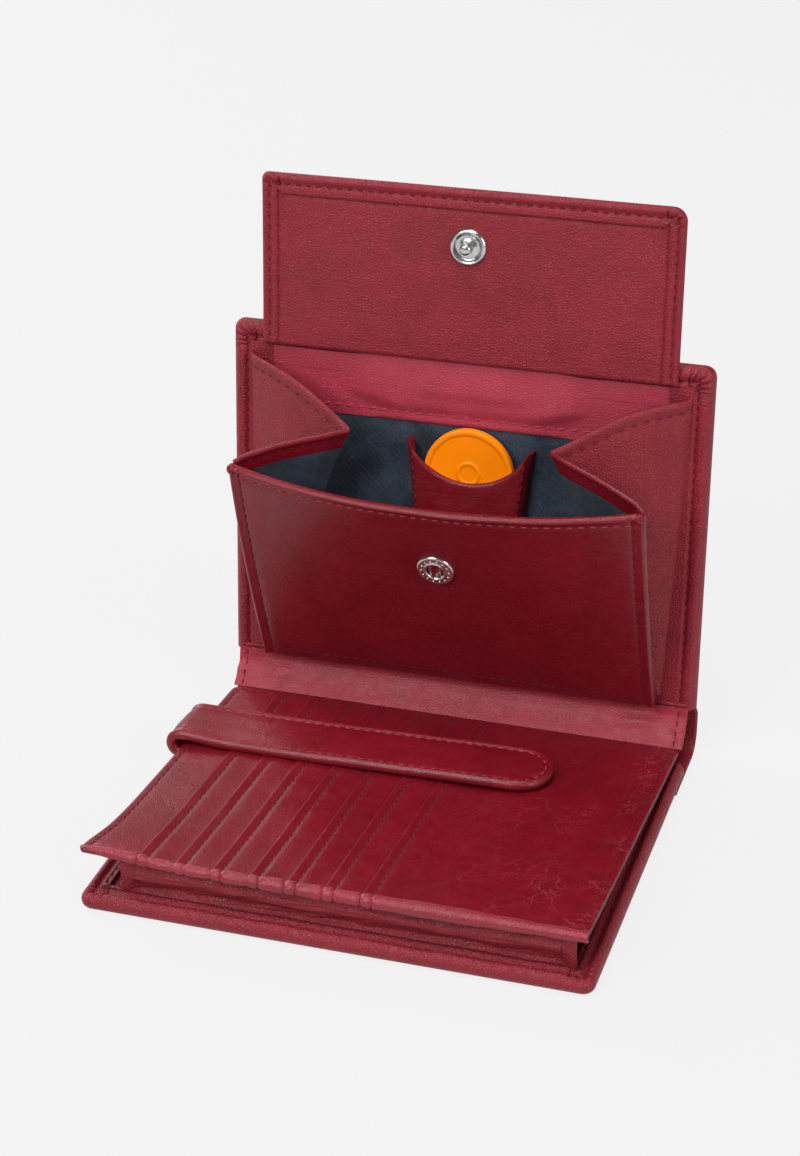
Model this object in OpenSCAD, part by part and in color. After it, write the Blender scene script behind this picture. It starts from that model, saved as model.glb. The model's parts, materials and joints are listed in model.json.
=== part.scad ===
// Combination wallet for coins, cards and notes, lying open with its coin box unsnapped.
// X runs along the spine, Y from the front edge to the spine, Z up.
// The origin is the centre of the flat face that the lower half rests on.

/* [Covers] */
// Width of both halves along the spine
cover_w = 125; // [118:1:135]
// Reach of each half from the spine corner to its free edge
cover_h = 100; // [97:1:108]
// Thickness of a padded cover
cover_t = 4.4; // [4:0.1:5]
// Radius of the outer corners, seen from above
cover_corner_r = 3; // [2.5:0.5:8]
// Width of the turned-in hem round the inner face
hem_w = 6; // [5:0.5:8]
// Thickness of the turned-in hem
hem_t = 1; // [0.8:0.1:1.2]
// Thickness of the stiffening board in each cover
board_t = 1; // [0.8:0.1:1.1]
// Thickness of the foam under the outer leather
foam_t = 1; // [0.6:0.1:1.1]
// Distance that the upper half leans back from upright, in degrees
lean = 6.25; // [0:0.25:12]

/* [Spine] */
// Distance that the upper half stands behind the card panel's fold
spine_back = 7.2; // [6.8:0.1:8]
// Outer radius of the rounded spine corner
spine_r = 6.5; // [6:0.1:7]
// Thickness of the outer spine strip
strip_t = 1.2; // [1:0.1:1.4]
// Part of the lower lap that passes the padded end of the cover
strip_seat = 4; // [3:0.5:5]
// Length of the strip that lies on the outside of each cover
strip_lap = 13; // [8:1:20]
// Distance from the card panel's fold to the middle of the spine corner
spine_reach = 6; // [5.5:0.1:6.5]
// Distance from the spine corner to the lower cover's padded end
lower_end = 10; // [9:0.5:12]
// Distance from the spine corner to the upper cover's padded end
upper_end = 9; // [8.5:0.5:10]
// Width of the inner spine lining between its folds
spine_lining_w = 3.5; // [3:0.1:3.8]
// Distance of the spine lining from the centre of the spine corner
lining_up = 3.2; // [2.8:0.1:3.4]
// Length of the hidden batten inside the spine
stay_l = 84; // [60:1:100]

/* [Card panel] */
// Width of the card panel
panel_w = 121; // [116:1:123]
// Depth of the card panel from its spine edge to its front edge
panel_d = 98.5; // [94:0.5:100]
// Height of the panel's carrying ply above the table at its spine edge
panel_back_z = 5.9; // [5.9:0.1:6.5]
// Slope of the panel up to its front edge, in degrees
panel_slope = 5.2; // [4.5:0.1:6]
// Depth of the strip that carries the panel's fold, inside the note compartment
fold_lap = 12; // [8:1:20]
// Thickness of that strip where it stands up at the spine
fold_wall = 0.4; // [0.3:0.1:0.4]
// Thickness of the panel's carrying ply
panel_ply_t = 1; // [0.8:0.1:1.2]
// Number of card pockets with their opening to the left
pocket_count = 7; // [6:1:7]
// Distance between two pocket edges
pocket_pitch = 9.15; // [8.5:0.05:9.3]
// Distance from the panel's left edge to the first pocket edge
pocket_margin = 12.8; // [12:0.1:14]
// Thickness of one pocket ply
pocket_ply_t = 0.55; // [0.5:0.05:0.6]
// Width of a pocket's turned edge where it lies on the next ply
pocket_lap = 3.6; // [3:0.1:4]
// Depth of the rounded binding along the panel's front edge
binding_d = 2.4; // [2.2:0.1:2.8]

/* [Note compartment] */
// Length of the bellows wall along the front
bellows_w = 110; // [100:1:112]
// Distance that the bellows wall sits right of the middle
bellows_shift = 2.5; // [0:0.5:3]
// Distance that the wall folds inwards half way up
bellows_fold = 4; // [3:0.5:5]
// Thickness of the bellows leather
bellows_t = 0.8; // [0.6:0.1:1]
// Width of the stitched hem at each end of the wall
bellows_hem = 5; // [4:0.5:6]

/* [Strap] */
// Width of the strap over the card panel
strap_w = 15.5; // [14:0.5:17]
// Thickness of the strap
strap_t = 2.4; // [2:0.1:2.6]
// Distance from the panel's left edge to the tip
strap_l = 95; // [85:1:100]
// Distance from the panel's spine edge to the strap
strap_inset = 18; // [16:0.5:22]
// Gap between the strap and the panel's ply, which the press stud fills
strap_lift = 2.7; // [2.6:0.1:2.9]
// Length of the strap's tail sewn under the panel
strap_tail = 16; // [12:1:20]

/* [Coin box] */
// Width of the coin box front
front_w = 106; // [100:1:108]
// Height of the coin box front
front_h = 66; // [62:0.5:67]
// Distance from the spine corner to the front's lower seam
front_seam = 10.7; // [10.5:0.1:12]
// Angle that the front stands off the cover, in degrees
front_open = 26; // [22:0.5:28]
// Angle between the front and the cover with the flap snapped shut, in degrees
front_shut = 4; // [4:0.5:5]
// Thickness of the front's outer leather
front_leather_t = 1.1; // [1:0.1:1.2]
// Thickness of the dark lining cloth
cloth_t = 0.5; // [0.4:0.1:0.5]
// Distance from the front's lower seam to its press stud
socket_up = 43; // [41:0.5:45]
// Height of the leather band along the top of each gusset leaf
gusset_band = 5.5; // [5:0.5:7]
// Angle between a gusset's ridge and the front's side edge, in degrees
ridge_angle = 23.5; // [22:0.5:25]
// Length of a gusset's ridge
ridge_l = 74; // [71:0.5:75]
// Thickness of a gusset leaf with its lining
leaf_t = 1; // [0.9:0.05:1]
// Height of the lining's upper seam on the back wall
back_seam = 78.5; // [77:0.5:80]

/* [Chip pocket] */
// Diameter of the trolley chip, which is that of a 1 euro coin
chip_d = 23.25; // [22:0.05:24]
// Thickness of the chip
chip_t = 2.2; // [2:0.05:2.3]
// Distance of the chip right of the middle
chip_x = 1.8; // [0:0.1:4]
// Distance from the spine corner to the chip's lowest point
chip_low = 55.2; // [54:0.1:57]
// Width of the chip pocket between its tips
pouch_w = 33; // [32:0.5:36]
// Width of the chip pocket at its bottom seam
pouch_low_w = 28; // [27:0.5:30]
// Distance from the spine corner to the pocket's tips
pouch_top = 74; // [72:0.5:76]
// Depth of the crescent between the tips
pouch_dip = 9.5; // [8:0.5:11]
// Thickness of the pocket's leather
pouch_t = 0.9; // [0.7:0.1:1]
// Width of the pocket's seam
pouch_seam = 2; // [1.8:0.1:2.4]

/* [Flap] */
// Width of the flap
flap_w = 107.6; // [104:0.2:110]
// Distance from the spine corner to the flap's free edge
flap_top = 139.4; // [137:0.2:142]
// Thickness of the flap
flap_t = 1.8; // [1.6:0.1:1.8]
// Distance from the flap's free edge to its press stud
stud_drop = 14.4; // [13:0.2:17]
// Width of the strip between the flap's two folds
fold_w = 8; // [7.8:0.1:8.4]
// Half width of the strip between the gussets
fold_half = 40; // [36:1:40]
// Width of the turned edge round the flap
flap_edge_w = 4.5; // [3.5:0.5:6]
// Radius of the flap's free corners
flap_corner_r = 4; // [3:0.5:6]

/* [Press studs] */
// Diameter of a press stud's flange
stud_d = 9.4; // [9:0.1:10]
// Radius of the ball on the post
ball_r = 1.5; // [1.3:0.05:1.6]
// Height of the post with its ball above the flange
post_h = 2.4; // [2.2:0.1:2.5]
// Height of a flange
flange_t = 0.8; // [0.7:0.05:0.85]
// Height of the socket ring on the coin box front
ring_h = 1; // [0.8:0.05:1]

/* [Clearances] */
// Gap between leather parts that move past each other
gap = 0.3; // [0.25:0.05:0.35]
// Radial gap between a ball and its socket
ball_gap = 0.6; // [0.5:0.05:0.7]

/* [Hidden] */
$fn = 48;

fold_bed = 0;
lining_low = 0.5;
leather = [0.50, 0.09, 0.13];
leather_lit = [0.60, 0.22, 0.27];
navy = [0.16, 0.20, 0.27];
metal = [0.80, 0.80, 0.80];
orange = [1.0, 0.52, 0.0];
board_grey = [0.62, 0.58, 0.52];
foam_white = [0.86, 0.85, 0.80];

cover_half = cover_w / 2;
panel_half = panel_w / 2;
front_half = front_w / 2;
flap_half = flap_w / 2;
roll_r = cover_t / 2;
wrap_t = (cover_t - hem_t - board_t - foam_t) / 2;

// The lower half runs from its front edge to its padded end.
lower_front = -cover_h / 2;
corner_y = cover_h / 2;
lower_back = corner_y + spine_reach - lower_end;
strip_end_y = lower_back + strip_seat - strip_lap;
lower_core = strip_end_y - 3;

// The upper half's own frame starts at the spine corner: X along the spine,
// Y up the cover and Z off its inner face, towards the coin box.
upper_y = corner_y + spine_back;
upper_z = cover_t + 0.3;
face_n = 1.2;
outer_n = face_n - cover_t;

// Centre of the rounded spine corner, in the upper half's frame and in the wallet's
bend_n = outer_n - strip_t + spine_r;
bend_t = (spine_r - upper_z - bend_n * sin(lean)) / cos(lean);
bend_y = upper_y + bend_t * sin(lean) - bend_n * cos(lean);
bend_z = spine_r;
strip_mid_r = spine_r - strip_t / 2;
strip_sweep = 90 - lean;

// Levels off the cover's inner face, from the back wall out to the shut flap
leaf_gap_n = face_n + gap;
outer_leaf_n = leaf_gap_n + leaf_t / 2;
inner_leaf_n = outer_leaf_n + leaf_t + gap;
front_t = front_leather_t + cloth_t;
front_inner_n = inner_leaf_n + leaf_t / 2 + gap;
front_axis_n = front_inner_n + front_t / 2;
flap_n = face_n + gap;
flap_mid_n = flap_n + flap_t / 2;

// The flap's two folds are placed so that its stud meets the socket when it shuts.
stud_t = flap_top - stud_drop;
socket_shut_t = front_seam + socket_up * cos(front_shut);
fold_t = (stud_t + socket_shut_t - fold_w) / 2;
flap_low = fold_t + fold_w;

// Gusset: the cover-side fold runs from the lower corner out to the hem.
leaf_x = front_half + 0.4;
leaf_out_x = cover_half - hem_w + 2.6;
leaf_top_t = 92;
leaf_side_l = norm([leaf_out_x - leaf_x, leaf_top_t - front_seam]);
leaf_tilt = atan2(leaf_out_x - leaf_x, leaf_top_t - front_seam);
outer_sector = ridge_angle + leaf_tilt;

// Direction of the ridge from the lower corner for a front angle, as [inwards, up, off the cover]
function side_dir() = [-sin(leaf_tilt), cos(leaf_tilt), 0];
function front_dir(open) = [0, cos(open), sin(open)];
function ridge_dir(open) =
  let (
    p = side_dir(),
    q = front_dir(open),
    k = p * q,
    a = (cos(outer_sector) - k * cos(ridge_angle)) / (1 - k * k),
    b = (cos(ridge_angle) - k * cos(outer_sector)) / (1 - k * k),
    n = cross(p, q),
    rest = 1 - (a * a + b * b + 2 * a * b * k),
    c = sqrt(max(0, rest)) / norm(n)
  )
  a * p + b * q + c * n;
// Angle that the outer leaf lifts off the cover, and the inner leaf off the front
function outer_lift(open) =
  let (r = ridge_dir(open), inward = [cos(leaf_tilt), sin(leaf_tilt), 0])
  atan2(r.z, r * inward);
function inner_lift(open) =
  let (r = ridge_dir(open), back = [0, sin(open), -cos(open)])
  atan2(r * back, r.x);

// Card panel's front and back edges, in its own frame
panel_front = -panel_d;
binding_front = panel_front;
ply_front = panel_front + binding_d;

module on_upper() {
  translate([0, upper_y, upper_z]) rotate([90 - lean, 0, 0]) children();
}

module on_front() {
  on_upper() translate([0, front_seam, front_axis_n]) rotate([front_open, 0, 0]) children();
}

module on_panel() {
  translate([0, corner_y, panel_back_z]) rotate([-panel_slope, 0, 0]) children();
}

// Outline with rounded corners at its free edge, from y0 at the spine to y1
module free_outline(half, y0, y1, r) {
  union() {
    translate([-half, min(y0, y1 - sign(y1 - y0) * r)])
      square([2 * half, abs(y1 - y0) - r]);
    translate([-half + r, min(y0, y1)]) square([2 * (half - r), abs(y1 - y0)]);
    for (side = [-1, 1]) translate([side * (half - r), y1 - sign(y1 - y0) * r]) circle(r);
  }
}

// Half-round profile of the rolled edge
module edge_profile() {
  intersection() {
    circle(roll_r);
    translate([0, -roll_r]) square([roll_r, 2 * roll_r]);
  }
}

// Padded slab with a rolled edge on its three free sides, standing on z = 0
module padded_slab(y0, y1) {
  dir = sign(y1 - y0);
  c = cover_corner_r - roll_r;
  linear_extrude(cover_t) free_outline(cover_half - roll_r, y0, y1 - dir * roll_r, c);
  translate([0, 0, roll_r]) {
    for (side = [0, 1]) mirror([side, 0, 0]) {
      translate([cover_half - roll_r, max(y0, y1 - dir * cover_corner_r), 0])
        rotate([90, 0, 0]) linear_extrude(abs(y1 - y0) - cover_corner_r) edge_profile();
      translate([cover_half - cover_corner_r, y1 - dir * cover_corner_r, 0])
        rotate([0, 0, dir > 0 ? 0 : -90]) rotate_extrude(angle = 90)
          translate([c, 0]) edge_profile();
    }
    translate([-cover_half + cover_corner_r, y1 - dir * roll_r, 0])
      mirror([0, dir > 0 ? 0 : 1, 0]) rotate([90, 0, 90])
        linear_extrude(cover_w - 2 * cover_corner_r) edge_profile();
  }
}

// Space inside the hem, from the padded end to the free edge
module hem_outline(y0, y1, inset) {
  dir = sign(y1 - y0);
  free_outline(cover_half - hem_w - inset, y0, y1 - dir * (hem_w + inset), 2);
}

// Leather shell of a cover: padded slab with its hem recess and the space for board and foam
module cover_shell(y0, y1, core_y0) {
  dir = sign(y1 - y0);
  difference() {
    padded_slab(y0, y1);
    translate([0, 0, cover_t - hem_t]) linear_extrude(hem_t + 1) hem_outline(y0 - dir, y1, 0);
    translate([0, 0, wrap_t]) linear_extrude(board_t + foam_t) stiffener_outline(core_y0, y1);
  }
}

module stiffener_outline(core_y0, y1) {
  dir = sign(y1 - core_y0);
  free_outline(cover_half - 4, core_y0, y1 - dir * 4, 3);
}

module lower_cover() {
  color(leather) difference() {
    cover_shell(lower_back, lower_front, lower_core);
    translate([-cover_half - 1, strip_end_y, -1]) cube([cover_w + 2, strip_lap, strip_t + 1]);
  }
}

module lower_board() {
  color(board_grey) translate([0, 0, wrap_t + foam_t]) linear_extrude(board_t)
    stiffener_outline(lower_core, lower_front);
}

module lower_padding() {
  color(foam_white) translate([0, 0, wrap_t]) linear_extrude(foam_t)
    stiffener_outline(lower_core, lower_front);
}

module lower_lining() {
  color(leather) translate([0, 0, cover_t - hem_t]) linear_extrude(cloth_t)
    hem_outline(lower_back, lower_front, 0);
}

// Strip sewn to the lower cover that holds the card panel's spine edge
module panel_fold() {
  l = panel_w - 1;
  color(leather_lit) translate([-l / 2, 0, cover_t - fold_bed]) {
    translate([0, corner_y - fold_lap, 0]) cube([l, fold_lap + gap + fold_wall, fold_bed + cloth_t]);
    translate([0, corner_y + gap, 0]) cube([l, fold_wall, panel_back_z - gap - cover_t + fold_bed]);
  }
}

// Turned end of the outer spine strip under the lower cover
module spine_strip_lower() {
  color(leather) translate([-cover_half, strip_end_y, 0])
    cube([cover_w, bend_y - gap - strip_end_y, strip_t]);
}

// Rounded part of the outer spine strip, concentric with the spine corner
module spine_strip() {
  cut = asin(gap / spine_r);
  color(leather) translate([-cover_half, bend_y, bend_z]) rotate([90, 0, 90])
    rotate([0, 0, -90 + cut]) rotate_extrude(angle = strip_sweep - 2 * cut)
      translate([spine_r - strip_t, 0]) square([strip_t, cover_w]);
}

// Lining that bridges the two inner faces across the spine
module spine_lining() {
  color(leather_lit) in_spine() translate([-cover_half + 1, -lining_low, lining_up])
    cube([cover_w - 2, spine_lining_w, bellows_t]);
}

// Hidden batten that holds the lining off the outer strip, short of both open ends
module spine_stay() {
  color(board_grey) in_spine() translate([-stay_l / 2, -0.5, -spine_r + strip_t + 0.02])
    cube([stay_l, 1, lining_up + spine_r - strip_t - 0.02]);
}

// Frame at the centre of the spine corner; Z points at the middle of the inside angle
module in_spine() {
  translate([0, bend_y, bend_z]) rotate([strip_sweep / 2, 0, 0]) children();
}

module upper_cover() {
  color(leather) on_upper() translate([0, 0, outer_n]) cover_shell(upper_end, cover_h, upper_end + 3);
}

module upper_board() {
  color(board_grey) on_upper() translate([0, 0, outer_n + wrap_t + foam_t])
    linear_extrude(board_t) stiffener_outline(upper_end + 3, cover_h);
}

module upper_padding() {
  color(foam_white) on_upper() translate([0, 0, outer_n + wrap_t])
    linear_extrude(foam_t) stiffener_outline(upper_end + 3, cover_h);
}

module upper_lining() {
  color(leather_lit) on_upper() translate([0, 0, face_n - hem_t])
    linear_extrude(hem_t - cloth_t) hem_outline(upper_end, cover_h, 0);
}

// Turned end of the outer spine strip on the outside of the upper cover
module spine_strip_upper() {
  color(leather) on_upper()
    translate([-cover_half, bend_t + gap, outer_n - strip_t])
      cube([cover_w, upper_end + strip_lap - bend_t, strip_t]);
}

// Leather strip above the coin box's lining, sewn along its lower edge
module coin_back_strip() {
  color(leather_lit) on_upper() translate([-cover_half + hem_w, back_seam, face_n - cloth_t])
    cube([cover_w - 2 * hem_w, fold_t - gap - back_seam, cloth_t + 0.1]);
}

module coin_back_lining() {
  color(navy) on_upper() translate([-cover_half + hem_w, upper_end, face_n - cloth_t])
    cube([cover_w - 2 * hem_w, back_seam - upper_end, cloth_t]);
}

pouch_inner_n = face_n + 3.85;
pouch_low = chip_low - gap - pouch_seam;

// Outline of the chip pocket: tapered sides and a crescent between two tips
module pouch_outline() {
  rise = pouch_dip;
  half = pouch_w / 2 - 1;
  r = (half * half + rise * rise) / (2 * rise);
  difference() {
    polygon([
      [-pouch_low_w / 2, pouch_low], [pouch_low_w / 2, pouch_low],
      [pouch_w / 2, pouch_top], [-pouch_w / 2, pouch_top]
    ]);
    translate([0, pouch_top - rise + r]) circle(r, $fn = 96);
  }
}

module chip_pocket() {
  color(leather) on_upper() translate([chip_x, 0, 0]) difference() {
    translate([0, 0, face_n]) linear_extrude(pouch_inner_n - face_n + pouch_t) pouch_outline();
    translate([0, 0, face_n - 1]) linear_extrude(pouch_inner_n - face_n + 1) polygon([
      [-pouch_low_w / 2 + pouch_seam, pouch_low + pouch_seam],
      [pouch_low_w / 2 - pouch_seam, pouch_low + pouch_seam],
      [pouch_w / 2 - pouch_seam + 0.5, pouch_top + 2],
      [-pouch_w / 2 + pouch_seam - 0.5, pouch_top + 2]
    ]);
  }
}

// Shopping trolley chip with a raised rim and a small centre boss
module trolley_chip() {
  r = chip_d / 2;
  rim = 1.2;
  color(orange) on_upper()
    translate([chip_x, chip_low + r, pouch_inner_n - 0.2 - chip_t]) difference() {
      cylinder(r = r, h = chip_t);
      translate([0, 0, chip_t - 0.25]) difference() {
        cylinder(r = r - rim, h = 1);
        cylinder(r = 1.6, h = 0.25);
      }
      translate([0, 0, -1 + 0.25]) cylinder(r = r - rim, h = 1);
    }
}

// Narrow strip between the flap's two folds
module flap_fold() {
  color(leather_lit) on_upper() translate([-fold_half, fold_t, flap_n])
    cube([2 * fold_half, fold_w - gap, flap_t]);
}

// Outer leather of the flap, turned over three edges round the facing
module flap_leather() {
  color(leather_lit) on_upper() difference() {
    translate([0, 0, flap_n]) linear_extrude(flap_t)
      free_outline(flap_half, flap_low, flap_top, flap_corner_r);
    translate([0, 0, flap_n + flap_t - 0.6]) linear_extrude(1)
      flap_facing_outline();
    translate([0, stud_t, flap_n + 0.4]) cylinder(d = stud_d - 1, h = flap_t);
  }
}

module flap_facing_outline() {
  free_outline(flap_half - flap_edge_w, flap_low - 0.01, flap_top - flap_edge_w, 1);
}

module flap_facing() {
  color(leather_lit) on_upper() difference() {
    translate([0, 0, flap_n + flap_t - 0.6]) linear_extrude(0.5) flap_facing_outline();
    translate([0, stud_t, flap_n]) cylinder(d = stud_d - 1, h = 2 * flap_t);
  }
}

// Stud with a stepped flange and a ball on its post
module stud(floor_h) {
  cylinder(d = stud_d - 1, h = floor_h);
  translate([0, 0, floor_h]) rotate_extrude() difference() {
    polygon([
      [0, 0], [stud_d / 2, 0], [stud_d / 2, flange_t * 0.5], [stud_d / 2 - 0.5, flange_t],
      [stud_d / 2 - 1.1, flange_t], [stud_d / 2 - 1.5, flange_t * 0.5],
      [2.1, flange_t * 0.5], [2.0, flange_t], [0, flange_t]
    ]);
  }
  translate([0, 0, floor_h + flange_t - 0.1]) cylinder(r = ball_r * 0.8, h = post_h - ball_r);
  translate([0, 0, floor_h + flange_t + post_h - ball_r]) sphere(r = ball_r);
}

module flap_stud() {
  color(metal) on_upper() translate([0, stud_t, flap_n + 0.9]) stud(flap_t - 1);
}

// Rivet head inside the flap, under its outer leather
module flap_stud_cap() {
  color(metal) on_upper() translate([0, stud_t, flap_n + 0.4]) cylinder(d = stud_d - 1.4, h = 0.5);
}

// Front of the coin box, in its own frame: Y up the panel, Z towards the outside
module coin_front() {
  color(leather) on_front() difference() {
    translate([0, 0, front_t / 2 - front_leather_t]) linear_extrude(front_leather_t)
      free_outline(front_half, gap, front_h, 1.5);
    translate([0, socket_up, 0]) cylinder(r = ball_r + ball_gap, h = 3, center = true);
  }
}

module coin_front_lining() {
  edge = 2;
  color(navy) on_front() translate([-front_half + edge, gap, -front_t / 2]) difference() {
    cube([front_w - 2 * edge, front_h - gusset_band - 0.5, cloth_t]);
    translate([front_half - edge, socket_up - gap, -1]) cylinder(r = ball_r + ball_gap, h = 3);
  }
}

// Socket ring of the press stud, plain and bare
module coin_socket() {
  hole = ball_r + ball_gap;
  color(metal) on_front() translate([0, socket_up, front_t / 2]) rotate_extrude() polygon([
    [hole, 0], [stud_d / 2, 0], [stud_d / 2, ring_h * 0.5], [stud_d / 2 - 0.6, ring_h],
    [hole + 0.4, ring_h], [hole, ring_h - 0.3]
  ]);
}

module coin_socket_cap() {
  hole = ball_r + ball_gap;
  color(metal) on_front() translate([0, socket_up, -front_t / 2 - 0.4]) difference() {
    cylinder(d = stud_d - 1, h = 0.4);
    translate([0, 0, -1]) cylinder(r = hole, h = 3);
  }
}

fold_trim = 0.1;
ridge_trim = 0.5;
leaf_low = 4.5;
ridge_low = 8;

// Flat outline of a gusset leaf: side edge on Y, ridge leaning inwards by the sector angle
module leaf_outline(side_l, sector, top_in, past = 0) {
  r = ridge_l - top_in;
  s = side_l - top_in;
  low = past > 0 ? 0 : 1;
  slope = (r * cos(sector) - s) / (r * sin(sector) - ridge_trim - fold_trim);
  polygon([
    [fold_trim - past, leaf_low * low], [fold_trim - past, s - past * slope],
    [r * sin(sector) - ridge_trim + past, r * cos(sector) + past * slope],
    [ridge_low * low * sin(sector) - ridge_trim + past, ridge_low * low * cos(sector)]
  ]);
}

// Places a leaf of the right-hand gusset; X runs inwards from the fold
module outer_leaf_frame() {
  on_upper() translate([leaf_x, front_seam, outer_leaf_n]) rotate([0, 0, -leaf_tilt])
    rotate([0, outer_lift(front_open), 0]) mirror([1, 0, 0]) children();
}

module inner_leaf_frame() {
  on_front() translate([front_half, 0, inner_leaf_n - front_axis_n])
    rotate([0, -inner_lift(front_open), 0]) mirror([1, 0, 0]) children();
}

// Leather of a leaf, turned over at its top edge; its lining is let in on the box side
module leaf_leather(side_l, sector, box_side) {
  difference() {
    translate([0, 0, -leaf_t / 2]) linear_extrude(leaf_t) leaf_outline(side_l, sector, 0);
    translate([0, 0, box_side > 0 ? 0 : -leaf_t]) linear_extrude(leaf_t)
      leaf_outline(side_l, sector, gusset_band, 1);
  }
}

module leaf_lining(side_l, sector, box_side) {
  translate([0, 0, box_side > 0 ? 0 : -leaf_t / 2]) linear_extrude(leaf_t / 2)
    leaf_outline(side_l, sector, gusset_band, 0);
}

module outer_leaf() {
  color(leather_lit) outer_leaf_frame() leaf_leather(leaf_side_l, outer_sector, -1);
}

module outer_leaf_lining() {
  color(navy) outer_leaf_frame() leaf_lining(leaf_side_l, outer_sector, -1);
}

module inner_leaf() {
  color(leather) inner_leaf_frame() leaf_leather(front_h, ridge_angle, 1);
}

module inner_leaf_lining() {
  color(navy) inner_leaf_frame() leaf_lining(front_h, ridge_angle, 1);
}

module left() {
  mirror([1, 0, 0]) children();
}

module card_base() {
  color(leather) on_panel() translate([-panel_half, ply_front, -panel_ply_t])
    cube([panel_w, -ply_front - gap, panel_ply_t]);
}

// Profile of a pocket ply: a raised turned edge, a ramp and a tail under the next edge
module pocket_profile(i) {
  x0 = -panel_half + pocket_margin + i * pocket_pitch;
  last = i == pocket_count - 1;
  x1 = last ? panel_half : x0 + pocket_pitch + pocket_lap - gap;
  p = pocket_ply_t;
  ramp = 1.6;
  polygon([
    [x0, p], [x0 + pocket_lap, p], [x0 + pocket_lap + ramp, 0], [x1, 0], [x1, p],
    [x0 + pocket_lap + ramp, p], [x0 + pocket_lap, 2 * p], [x0, 2 * p]
  ]);
}

module card_pocket(i) {
  color(leather) on_panel() translate([0, -gap, 0]) rotate([90, 0, 0])
    linear_extrude(-ply_front - gap) pocket_profile(i);
}

// First ply, which runs from the panel's left edge to under the first pocket edge
module card_pocket_first() {
  color(leather) on_panel() translate([-panel_half, ply_front, 0])
    cube([pocket_margin + pocket_lap - gap, -ply_front - gap, pocket_ply_t]);
}

// Rounded binding along the panel's front edge
module card_binding() {
  h = panel_ply_t + 2 * pocket_ply_t;
  color(leather_lit) on_panel() translate([-panel_half, binding_front, -panel_ply_t])
    rotate([90, 0, 90]) linear_extrude(panel_w) union() {
      translate([h / 2, h / 2]) circle(h / 2);
      translate([h / 2, 0]) square([binding_d - h / 2, h]);
    }
}

// Bellows wall of the note compartment, folded inwards half way up
module bill_gusset() {
  z0 = cover_t;
  y0 = lower_front + hem_w;
  z1 = panel_back_z + (corner_y - y0) * tan(panel_slope) - panel_ply_t / cos(panel_slope) - gap;
  zm = (z0 + z1) / 2;
  t = bellows_t;
  color(leather_lit) translate([bellows_shift - bellows_w / 2, 0, 0]) {
    bellows_length(bellows_w, y0, z0, z1, zm, t);
    for (x = [0, bellows_w - bellows_hem])
      translate([x, 0, 0]) bellows_length(bellows_hem, y0 - t, z0, z1, zm, t);
  }
}

module bellows_length(l, y0, z0, z1, zm, t) {
  rotate([90, 0, 90]) linear_extrude(l) polygon([
    [y0, z0], [y0 + t, z0], [y0 + bellows_fold + t, zm], [y0 + t, z1], [y0, z1],
    [y0 + bellows_fold, zm]
  ]);
}

// Strap: the moving part starts at its fold line on the panel's left edge.
strap_y0 = -strap_inset - strap_w;
strap_fold_x = -panel_half - 2;
tail_t = 1.2;

module strap() {
  r = strap_w / 2;
  color(leather) on_panel() translate([0, strap_y0, strap_lift]) {
    difference() {
      linear_extrude(strap_t) union() {
        translate([strap_fold_x, 0]) square([strap_l - r + 2, strap_w]);
        translate([-panel_half + strap_l - r, r]) circle(r);
      }
      translate([strap_stud_x, r, -1]) cylinder(r = 1.5, h = 1 + strap_t / 2);
    }
  }
}

strap_stud_x = -panel_half + strap_l - strap_w / 2 - 2;
strap_stud_y = strap_y0 + strap_w / 2;

module strap_stud() {
  h = strap_t / 2;
  color(metal) on_panel() translate([strap_stud_x, strap_stud_y, strap_lift]) {
    cylinder(r = 1.4, h = h);
    translate([0, 0, -0.5]) cylinder(d = stud_d - 1.4, h = 0.5);
    translate([0, 0, -0.5 - 0.5]) cylinder(r = 1.2, h = 0.6);
  }
}

module strap_socket() {
  top = 2 * pocket_ply_t;
  color(metal) on_panel() translate([strap_stud_x, strap_stud_y, pocket_ply_t])
    difference() {
      cylinder(d = stud_d - 1.4, h = strap_lift - 0.5 - gap - pocket_ply_t);
      translate([0, 0, 0.4]) cylinder(r = 1.2 + ball_gap, h = 4);
    }
}

// Fixed part of the strap: it wraps the panel's left edge and its tail is sewn underneath
module strap_root() {
  low = -panel_ply_t - tail_t;
  high = strap_lift + strap_t;
  r = (high - low) / 2;
  color(leather) on_panel() translate([strap_fold_x - gap, strap_y0, (high + low) / 2]) {
    rotate([-90, 0, 0]) rotate([0, 0, 90]) rotate_extrude(angle = 180)
      translate([r - tail_t, 0]) square([tail_t, strap_w]);
    translate([0, 0, -r]) cube([strap_tail, strap_w, tail_t]);
  }
}

lower_cover();
lower_board();
lower_padding();
lower_lining();
spine_strip_lower();
bill_gusset();
spine_strip();
spine_lining();
spine_stay();
panel_fold();
upper_cover();
upper_board();
upper_padding();
upper_lining();
spine_strip_upper();
coin_back_strip();
coin_back_lining();
chip_pocket();
trolley_chip();
flap_fold();
flap_leather();
flap_facing();
flap_stud();
flap_stud_cap();
coin_front();
coin_front_lining();
coin_socket();
coin_socket_cap();
outer_leaf();  // gusset_right_outer
outer_leaf_lining();  // gusset_right_outer_lining
inner_leaf();  // gusset_right_inner
inner_leaf_lining();  // gusset_right_inner_lining
left() outer_leaf();  // gusset_left_outer
left() outer_leaf_lining();  // gusset_left_outer_lining
left() inner_leaf();  // gusset_left_inner
left() inner_leaf_lining();  // gusset_left_inner_lining
union() { card_base(); card_pocket_first(); }
for (i = [0:pocket_count - 1])
  card_pocket(i);
card_binding();
strap_root();
strap_socket();
strap();
strap_stud();
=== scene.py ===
"""Leather combination wallet, open, with its coin box unsnapped.

Sizes are millimetres in the wallet's own frame: X along the spine, Y from the front edge
to the spine, Z up. Every piece is turned into metres when its mesh is made.
"""

import json
from math import atan2, cos, hypot, pi, radians, sin, sqrt

import bmesh
import bpy
import numpy as np
from mathutils import Matrix, Vector


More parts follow.
